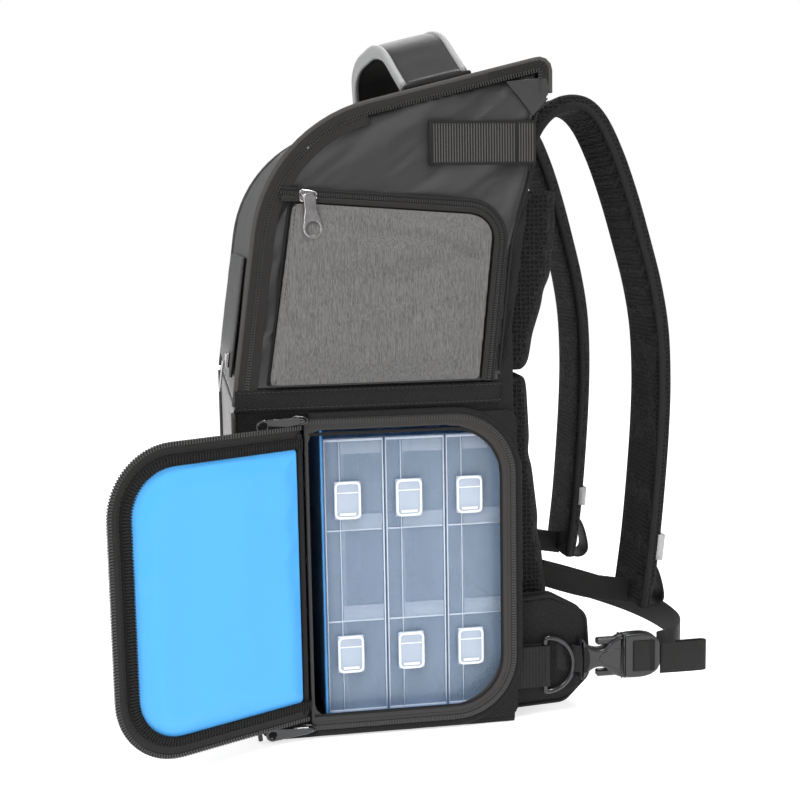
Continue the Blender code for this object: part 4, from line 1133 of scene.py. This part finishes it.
def buildStraps():
    for side, sign in (("near", 1), ("far", -1)):
        line = strapLine(side)
        middle = sign * (strap["inner"] + strap["wide"] / 2)
        path = [Vector((middle, p.y, p.z)) for p in line]

        def shape(t):
            thick = strap["thick"] * (0.80 + 0.20 * math.sin(math.pi * min(1, max(0, t))) ** 0.5)
            wide = strap["wide"] * (1 - 0.06 * stepUp(t, 0.9, 1.0))
            spots = []
            for k in range(28):
                angle = 2 * math.pi * k / 28
                c, s = math.cos(angle), math.sin(angle)
                a = math.copysign(abs(c) ** 0.55, c) * thick / 2
                b = math.copysign(abs(s) ** 0.30, s) * (wide / 2 - 0.0006)
                if abs(b) < 0.004:
                    a *= 0.90
                spots.append((a, b))
            return spots

        body = sweep(side + "StrapPad", path, shape, (1, 0, 0), "airMesh")
        settle(body, "shoulder_strap_" + side, "shoulder_strap_" + side)
        for name, offset in (("Outer", 1), ("Inner", -1)):
            edge = [Vector((middle + offset * (strap["wide"] / 2 - 0.0016), p.y, p.z)) for p in line]
            shifted = []
            for i, p in enumerate(edge):
                shifted.append(p + directionAt(edge, i).cross(Vector((1, 0, 0))) * 0.0022)
            settle(sweep(f"{side}StrapBinding{name}", shifted, [(a * 2.1, b) for a, b in round8(0.0014)],
                         (1, 0, 0), "bindingCloth"),
                   "shoulder_strap_" + side)
        outerFace = []
        for i, p in enumerate(path):
            side3 = directionAt(path, i).cross(Vector((1, 0, 0)))
            outerFace.append(p + side3 * (strap["thick"] / 2 + 0.0003) * (1 if side3.y > 0 else -1))
        run = outerFace[40:]
        settle(sweep(side + "StrapWebbing", run, slab(0.0016, 0.025), (1, 0, 0), "webbingCloth"),
               "shoulder_strap_" + side)
        keeper = outerFace[len(outerFace) - 44: len(outerFace) - 36]
        settle(sweep(side + "StrapKeeper", keeper, slab(0.0046, 0.034), (1, 0, 0), "webbingCloth"),
               "shoulder_strap_" + side)
        low, high, deep = strap["shine"][side]
        tabs = [p - Vector((0, deep, 0)) for p in outerFace if low <= p.z <= high]
        settle(sweep(side + "StrapReflector", tabs,
                     slab(strap["shineDeep"][side], strap["wide"] + 0.0012, 0, 0.45), (1, 0, 0),
                     "reflectiveCloth"), "shoulder_strap_" + side)
        end = outerFace[-1]
        loop = curveThrough([end + Vector((0, 0.0006, 0.040)), end + Vector((0, 0.010, 0.026)),
                             end + Vector((0, 0.015, 0.006)),
                             end + Vector((0, 0.012, -0.002)), end + Vector((0, 0.004, -0.0035)),
                             end + Vector((0, -0.004, 0.0020))], 6)
        settle(sweep(side + "StrapLoop", loop, slab(0.0018, 0.025), (1, 0, 0), "webbingCloth"),
               "shoulder_strap_" + side)

    def padMoveFor(seamHeight):
        def move(co, normal):
            rear = stepUp(co.y, 0.095, 0.11)
            channel = near(abs(co.x), 0.045, 0.006) + near(co.x, 0, 0.004)
            crown = 1 - (abs(co.x) / 0.124) ** 4
            edge = stepUp(0.124 - abs(co.x), 0, 0.014)
            rows = 0.5 + 0.5 * math.cos(2 * math.pi * (co.z - seamHeight) / 0.062)
            out = rear * (0.0035 * crown * edge - 0.0045 * min(1,
                    channel) - 0.0015 * rows ** 6) - 0.004 * rear * (1 - edge)
            return co + Vector((0, out, 0))
        return move

    for place in ("upper", "lower"):
        pad = softened(place + "BackPad", "back_pad_" + place, 0.0030, "airMesh", padMoveFor(0.262), 8)
        settle(pad, "pack", "back_pad_" + place)
    for side, sign in (("near", 1), ("far", -1)):
        x = sign * (bag["side"] + 0.0003)
        tab = softened(side + "LoadTab", "load_tab_" + side, 0.0011, "webbingCloth", None, 1)
        settle(tab, "pack", "load_tab_" + side)
        ribs = repeated(side + "LoadTabRibs", [Vector((0.0270, 0.4315)), Vector((0.1010, 0.4315))],
                        (0.0019, 0.0009, 0.0302, 0.0008, 0.0026), "ribCloth", onSide(sign))
        settle(ribs, "pack")
        frameBars = [((x, 0.0255, 0.4160), (x + sign * 0.0030, 0.1035, 0.4178)),
                     ((x, 0.0255, 0.4452), (x + sign * 0.0030, 0.1035, 0.4470)),
                     ((x, 0.0253, 0.4160), (x + sign * 0.0032, 0.0285, 0.4470)),
                     ((x, 0.0880, 0.4165), (x + sign * 0.0031, 0.0900, 0.4465))]
        boxesNow = [(tuple(map(min, a, b)), tuple(map(max, a, b))) for a, b in frameBars]
        settle(bars(side + "LoadTabEdges", boxesNow, "bindingCloth"), "pack")


buildStraps()
print("straps ready")

# carry handle

handle = {"slope": 13.7, "centre": 0.036, "feet": 0.47397, "rise": 0.042, "foot": 0.125, "half": 0.025,
          "piping": 0.0019}


def handleWorld(x, y, z):
    slope = math.radians(handle["slope"])
    return Vector((x, handle["centre"] + y * math.cos(slope) - z * math.sin(slope),
                   handle["feet"] + y * math.sin(slope) + z * math.cos(slope)))


def buildHandle():
    foot, rise = handle["foot"], handle["rise"]
    arch = [(-foot, 0.0035), (-foot * 0.86, 0.016), (-foot * 0.66, rise * 0.78),
            (-foot * 0.36, rise * 0.97), (0, rise),
            (foot * 0.36, rise * 0.97), (foot * 0.66, rise * 0.78), (foot * 0.86, 0.016), (foot, 0.0035)]
    line = curveThrough([Vector((a, 0, b)) for a, b in arch], 6)
    slope = math.radians(handle["slope"])
    across = Vector((0, math.cos(slope), math.sin(slope)))
    centre = [handleWorld(p.x, 0, p.z) for p in line]

    def shape(t):
        padding = 0.0034 + 0.0016 * math.sin(math.pi * t)
        spots = []
        for k in range(24):
            angle = 2 * math.pi * k / 24
            c, s = math.cos(angle), math.sin(angle)
            spots.append((math.copysign(abs(c) ** 0.7, c) * padding,
                          math.copysign(abs(s) ** 0.35, s) * (handle["half"] - 0.0012)))
        return spots

    settle(sweep("handlePad", centre, shape, across, "coatedCloth"), "lid", "carry_handle")
    for name, offset in (("Front", -1), ("Rear", 1)):
        edge = [handleWorld(p.x, offset * (handle["half"] - 0.0021), p.z) for p in line]
        settle(sweep("handleBinding" + name, edge,
                     [(a * 2.9, b * 1.45) for a, b in round8(handle["piping"], 0, 14)], across,
                     "reflectiveCloth"), "lid")
    for side in (-1, 1):
        low = [handleWorld(side * (foot - 0.013 + 0.026 * k / 6), 0, 0.0022) for k in range(7)]
        settle(sweep("handleFootNear" if side > 0 else "handleFootFar", low, slab(0.0040, 0.050, 0, 0.4),
                     across, "bindingCloth"), "lid")


buildHandle()
print("handle ready")

# hip belt, rings and buckle

belt = {"fin": [(0.0876, 0.008, 0.002), (0.1273, 0.010, 0.012), (0.1473, 0.030, 0.012),
                (0.1443, 0.078, 0.012), (0.1173, 0.093, 0.012), (0.0876, 0.091, 0.002)],
        "inner": 0.127, "thick": 0.014, "wide": 0.024}


def buildBelt():
    for side, sign in (("near", 1), ("far", -1)):
        def finMove(co, normal):
            out = 0.0016 * (1 + folds(co.y, co.z, 12.0, (40, 40)))
            edge = stepUp(min(co.z - 0.008, 0.094 - co.z, 0.148 - co.y), 0, 0.014)
            faced = abs(normal.x)
            return co + normal * (out * edge - 0.0012 * (1 - edge)) * faced

        fin = softened(side + "HipFin", "hip_fin_" + side, 0.0018, "ballisticCloth", finMove, 6)
        settle(fin, "pack", "hip_fin_" + side)
        rim = cornered(belt["fin"], 6)
        rim = [p for p in rim if p.x > 0.0885]
        for name, x in (("Outer", belt["inner"] + belt["thick"] - 0.0012),
                        ("Inner", belt["inner"] + 0.0012)):
            path = [Vector((sign * x, p.x, p.y)) for p in evenly(rim, 0.0025)]
            settle(sweep(f"{side}FinPiping{name}", path, round8(0.0014), (1, 0, 0), "bindingCloth"), "pack")
        x, y, low, high = sign * 0.1455, 0.1113, 0.020, 0.062
        loop = [(x, y, low + 0.002), (x, y, low + 0.012), (x, y, low + 0.030), (x, y, high - 0.002)]
        for k in range(15):
            angle = math.pi / 2 - math.pi * k / 14
            loop.append((x, y + 0.0015 + 0.0205 * math.cos(angle), low + 0.021 * (1 + math.sin(angle))))
        path = curveThrough(loop, 3, closed=True)
        settle(sweep(side + "WireRing", path, round8(0.0020, 0, 12), (1, 0, 0), "blackWire", closed=True),
               "d_ring_" + side, "d_ring_" + side)
        tab = softened(side + "RingTab", "ring_tab_" + side, 0.0009, "webbingCloth", None, 1)
        settle(tab, "pack", "ring_tab_" + side)
        ribs = repeated(side + "RingTabRibs", [Vector((0.0890, 0.041)), Vector((0.1110, 0.041))],
                        (0.0024, 0.0012, 0.0312, 0.0007, -0.0006), "webbingCloth",
                        onSide(sign))
        settle(ribs, "pack")
    low = 0.045 - belt["wide"] / 2
    x0, x1, heel = 0.1413, 0.1523, 0.2011
    tail = curveThrough([(x1 - 0.003, heel + 0.0003, 0.041), (x1 - 0.0025, heel + 0.018, 0.041),
                         (x1 - 0.0030, heel + 0.034, 0.041),
                         (x1 - 0.0052, heel + 0.0375, 0.041), (x1 - 0.0078, heel + 0.034, 0.041),
                         (x1 - 0.0072, heel + 0.014, 0.041)], 8)
    settle(sweep("beltTail", tail, slab(0.0015, belt["wide"], 0, 0.45), (0, 0, 1), "webbingCloth"),
           "buckle_plug", "belt_tail")
    sweepLine = curveThrough([(x0 + 0.0010, heel + 0.0003, 0.048), (x0 - 0.0040, heel + 0.010, 0.048),
                              (x0 - 0.0140, heel + 0.023, 0.048),
                              (0.098, heel + 0.034, 0.048), (0.050, heel + 0.033, 0.048),
                              (0.0, heel + 0.020, 0.048),
                              (-0.060, 0.1933, 0.048), (-0.108, 0.1663, 0.048), (-0.134, 0.1485, 0.048)], 8)
    settle(sweep("beltWebbingFar", sweepLine, slab(0.0015, belt["wide"], 0, 0.45), (0, 0, 1),
                 "webbingCloth"), "pack", "belt_webbing_far")
    near0 = [Vector((0.14205, 0.1198 + 0.0167 * k / 6, 0.045)) for k in range(7)]
    settle(sweep("beltWebbingNear", near0, slab(0.0015, belt["wide"], 0, 0.45), (0, 0, 1), "webbingCloth"),
           "pack", "belt_webbing_near")
    for side, sign in (("near", 1), ("far", -1)):
        band = softened(side + "LowerWebbing", "lower_webbing_" + side, 0.0008, "webbingCloth", None, 1)
        settle(band, "pack", "lower_webbing_" + side)


buildBelt()
print("belt ready")

# front pocket

frontPocket = {"low": 0.264, "high": 0.354, "half": 0.105}


def buildFrontPocket():
    def move(co, normal):
        inner = stepUp(min(co.z - 0.264, 0.354 - co.z, 0.105 - abs(co.x)), 0, 0.02)
        return co - Vector((0, 0.0008 * inner * (1.2 + folds(co.x, co.z, 21.0,
                (16, 24))) * (normal.y < -0.2), 0))

    settle(softened("frontPocket", "front_pocket", 0.0010, "coatedCloth", move, 2), "lid", "front_pocket")


buildFrontPocket()

# zip sliders, pulls and the buckle

pulls = {
    "pocket": {"body": "pocket_pull", "look": "platedMetal", "hinge": (0.1579, -0.061, 0.3985),
               "along": (0, 0.10, -1), "out": (1, 0, 0),
               "length": 0.0325, "wide": 0.0140, "neck": 0.0086, "hole": 0.0050, "thick": 0.0016},
    "main": {"body": "main_pull", "look": "platedMetal", "hinge": (-0.1550, -0.005, 0.4560),
             "along": (0, 0, -1), "out": (-1, 0, 0),
             "length": 0.0320, "wide": 0.0125, "neck": 0.0080, "hole": 0.0042, "thick": 0.0016},
    "bayUpper": {"body": "bay_pull_upper", "look": "glossPlastic", "hinge": (0.1568, -0.0705, 0.2378),
                 "along": (0, -1, -0.12), "out": (1, 0, 0),
                 "length": 0.0320, "wide": 0.0098, "neck": 0.0068, "hole": 0.0028, "thick": 0.0018},
    "bayLower": {"body": "bay_pull_lower", "look": "glossPlastic", "hinge": (0.1568, -0.0705, 0.0088),
                 "along": (0, -1, -0.06), "out": (1, 0, 0),
                 "length": 0.0320, "wide": 0.0098, "neck": 0.0068, "hole": 0.0028, "thick": 0.0018},
}
sliders = {
    "pocket": ("pocket_slider", "pocket_slider", "platedMetal", (0.1503, -0.061, 0.3958), 1, 0.0130, 0.0100,
               0.0065),
    "main": ("pack", "main_slider", "platedMetal", (-0.1503, -0.005, 0.4557), -1, 0.0130, 0.0100, 0.0038),
    "bayUpper": ("pack", "bay_slider_upper", "glossPlastic", (0.1521, -0.071, 0.2375), 1, 0.0120, 0.0082,
                 0.0036),
    "bayLower": ("pack", "bay_slider_lower", "glossPlastic", (0.1521, -0.071, 0.0085), 1, 0.0120, 0.0082,
                 0.0036),
}
buckle = {"start": 0.1368, "low": 0.1414, "high": 0.1521, "z": 0.045,
          "socket": [(0.0006, 15.0), (0.0016, 16.4), (0.004, 14.4), (0.0068, 10.8), (0.0098, 8.4),
                     (0.014, 7.1), (0.018, 7.2), (0.0208, 8.6),
                     (0.0235, 11.4), (0.027, 13.6), (0.031, 15.6), (0.034, 16.6)],
          "plug": [(0.0343, 16.6), (0.040, 17.3), (0.050, 17.3), (0.057, 15.6), (0.0618, 12.2),
                   (0.0640, 8.0)]}


def buildPulls():
    for name, data in pulls.items():
        along, out = Vector(data["along"]).normalized(), Vector(data["out"])
        aside = out.cross(along)
        hinge = Vector(data["hinge"])
        tab = eyeTab(name + "PullTab", data["length"], data["wide"], data["neck"], data["hole"],
                     data["thick"], data["look"],
                     lambda p: hinge + along * p[0] + aside * p[1] + out * p[2])
        settle(tab, data["body"], data["body"])
    for name, (body, node, look, centre, sign, long, wide, high) in sliders.items():
        x, y, z = centre
        shape = evenly(cornered([(-long / 2, -wide * 0.50, 0.0022), (long * 0.20, -wide * 0.38, 0.002),
                                 (long / 2, -wide * 0.22, 0.0014),
                                 (long / 2, wide * 0.22, 0.0014), (long * 0.20, wide * 0.38, 0.002),
                                 (-long / 2, wide * 0.50, 0.0022)], 4), 0.0008, closed=True)
        outline = [(p.x, p.y) for p in shape]
        settle(prism(name + "SliderBody", outline, 0.0002, high - 0.0014, look,
                     lambda p: Vector((x + sign * p[2], y + p[0], z + p[1])), 0.0010), body, node)
        bridge = curveThrough([Vector((x + sign * (high - 0.0018), y - long * 0.36, z)),
                               Vector((x + sign * (high + 0.0004), y - long * 0.20, z)),
                               Vector((x + sign * (high + 0.0006), y + long * 0.14, z)),
                               Vector((x + sign * (high - 0.0018), y + long * 0.34, z))], 5)
        settle(sweep(name + "SliderBridge", bridge, [(a, b * 1.9) for a, b in round8(0.0009)], (0, 0, 1),
                     look), body)


def buildBuckle():
    def place(p):
        return Vector((p[2], buckle["start"] + p[0], buckle["z"] + p[1]))

    for name in ("socket", "plug"):
        top = [Vector((u, v / 1000)) for u, v in buckle[name]]
        fine = [p for p in curveThrough([Vector((q.x, q.y, 0)) for q in top], 5)]
        outline = [(p.x, -p.y) for p in fine] + [(p.x, p.y) for p in fine[::-1]]
        settle(prism("buckle" + name.title(), outline, buckle["low"], buckle["high"], "darkPlastic", place,
                     0.0018),
               "pack" if name == "socket" else "buckle_plug", "buckle_" + name)
    face = buckle["high"]
    tongue = curveThrough([place(p) for p in ((0.0330, 0.0064, face), (0.0240, 0.0060, face),
                                              (0.0178, 0.0036, face), (0.0155, 0.0, face),
                                              (0.0180, -0.0042, face), (0.0250, -0.0078, face),
                                              (0.0330, -0.0108, face))], 5)
    settle(sweep("socketTongueLine", tongue, round8(0.00045), (1, 0, 0), "glossPlastic"), "pack")
    # painted shade: the crescent slot in the socket and the gap in the plug are flat matte dark patches on
    # the face, standing for the shade inside the openings
    crescent = [(0.0026, -0.0100), (0.0052, -0.0098), (0.0072, -0.0052), (0.0078, 0.0), (0.0072, 0.0052),
                (0.0052, 0.0098), (0.0026, 0.0100), (0.0030, 0.0)]
    settle(prism("socketSlotShade", crescent, face - 0.0004, face + 0.00015, "bindingCloth", place, 0.0001),
           "pack")
    gap = [(0.0555, -0.0128), (0.0595, -0.0120), (0.0595, 0.0120), (0.0555, 0.0128)]
    settle(prism("plugSlotShade", gap, face - 0.0004, face + 0.00015, "bindingCloth", place, 0.0001),
           "buckle_plug")
    turn = [place((0.0420, 0, face - 0.0002)), place((0.0432, 0, face + 0.0006)),
            place((0.0540, 0, face + 0.0006)), place((0.0552, 0, face - 0.0002))]
    settle(sweep("plugWebbing", turn, slab(0.0012, belt["wide"], 0, 0.45), (0, 0, 1), "webbingCloth"),
           "buckle_plug")
    wrist = [place((-0.0050, 0, face - 0.0070)), place((-0.0010, 0, face - 0.0035)),
             place((0.0030, 0, face - 0.0006)), place((0.0062, 0, face - 0.0006))]
    settle(sweep("socketWebbing", wrist, slab(0.0014, belt["wide"] - 0.003, 0, 0.45), (0, 0, 1),
                 "webbingCloth"), "pack")


buildPulls()
buildBuckle()

for nodeName, look in (("front_slider", "platedMetal"), ("front_pull", "platedMetal"),
                       ("buckle_prong_upper", "darkPlastic"),
                       ("buckle_prong_lower", "darkPlastic")):
    dress(nodeName, look)
print("hardware ready")
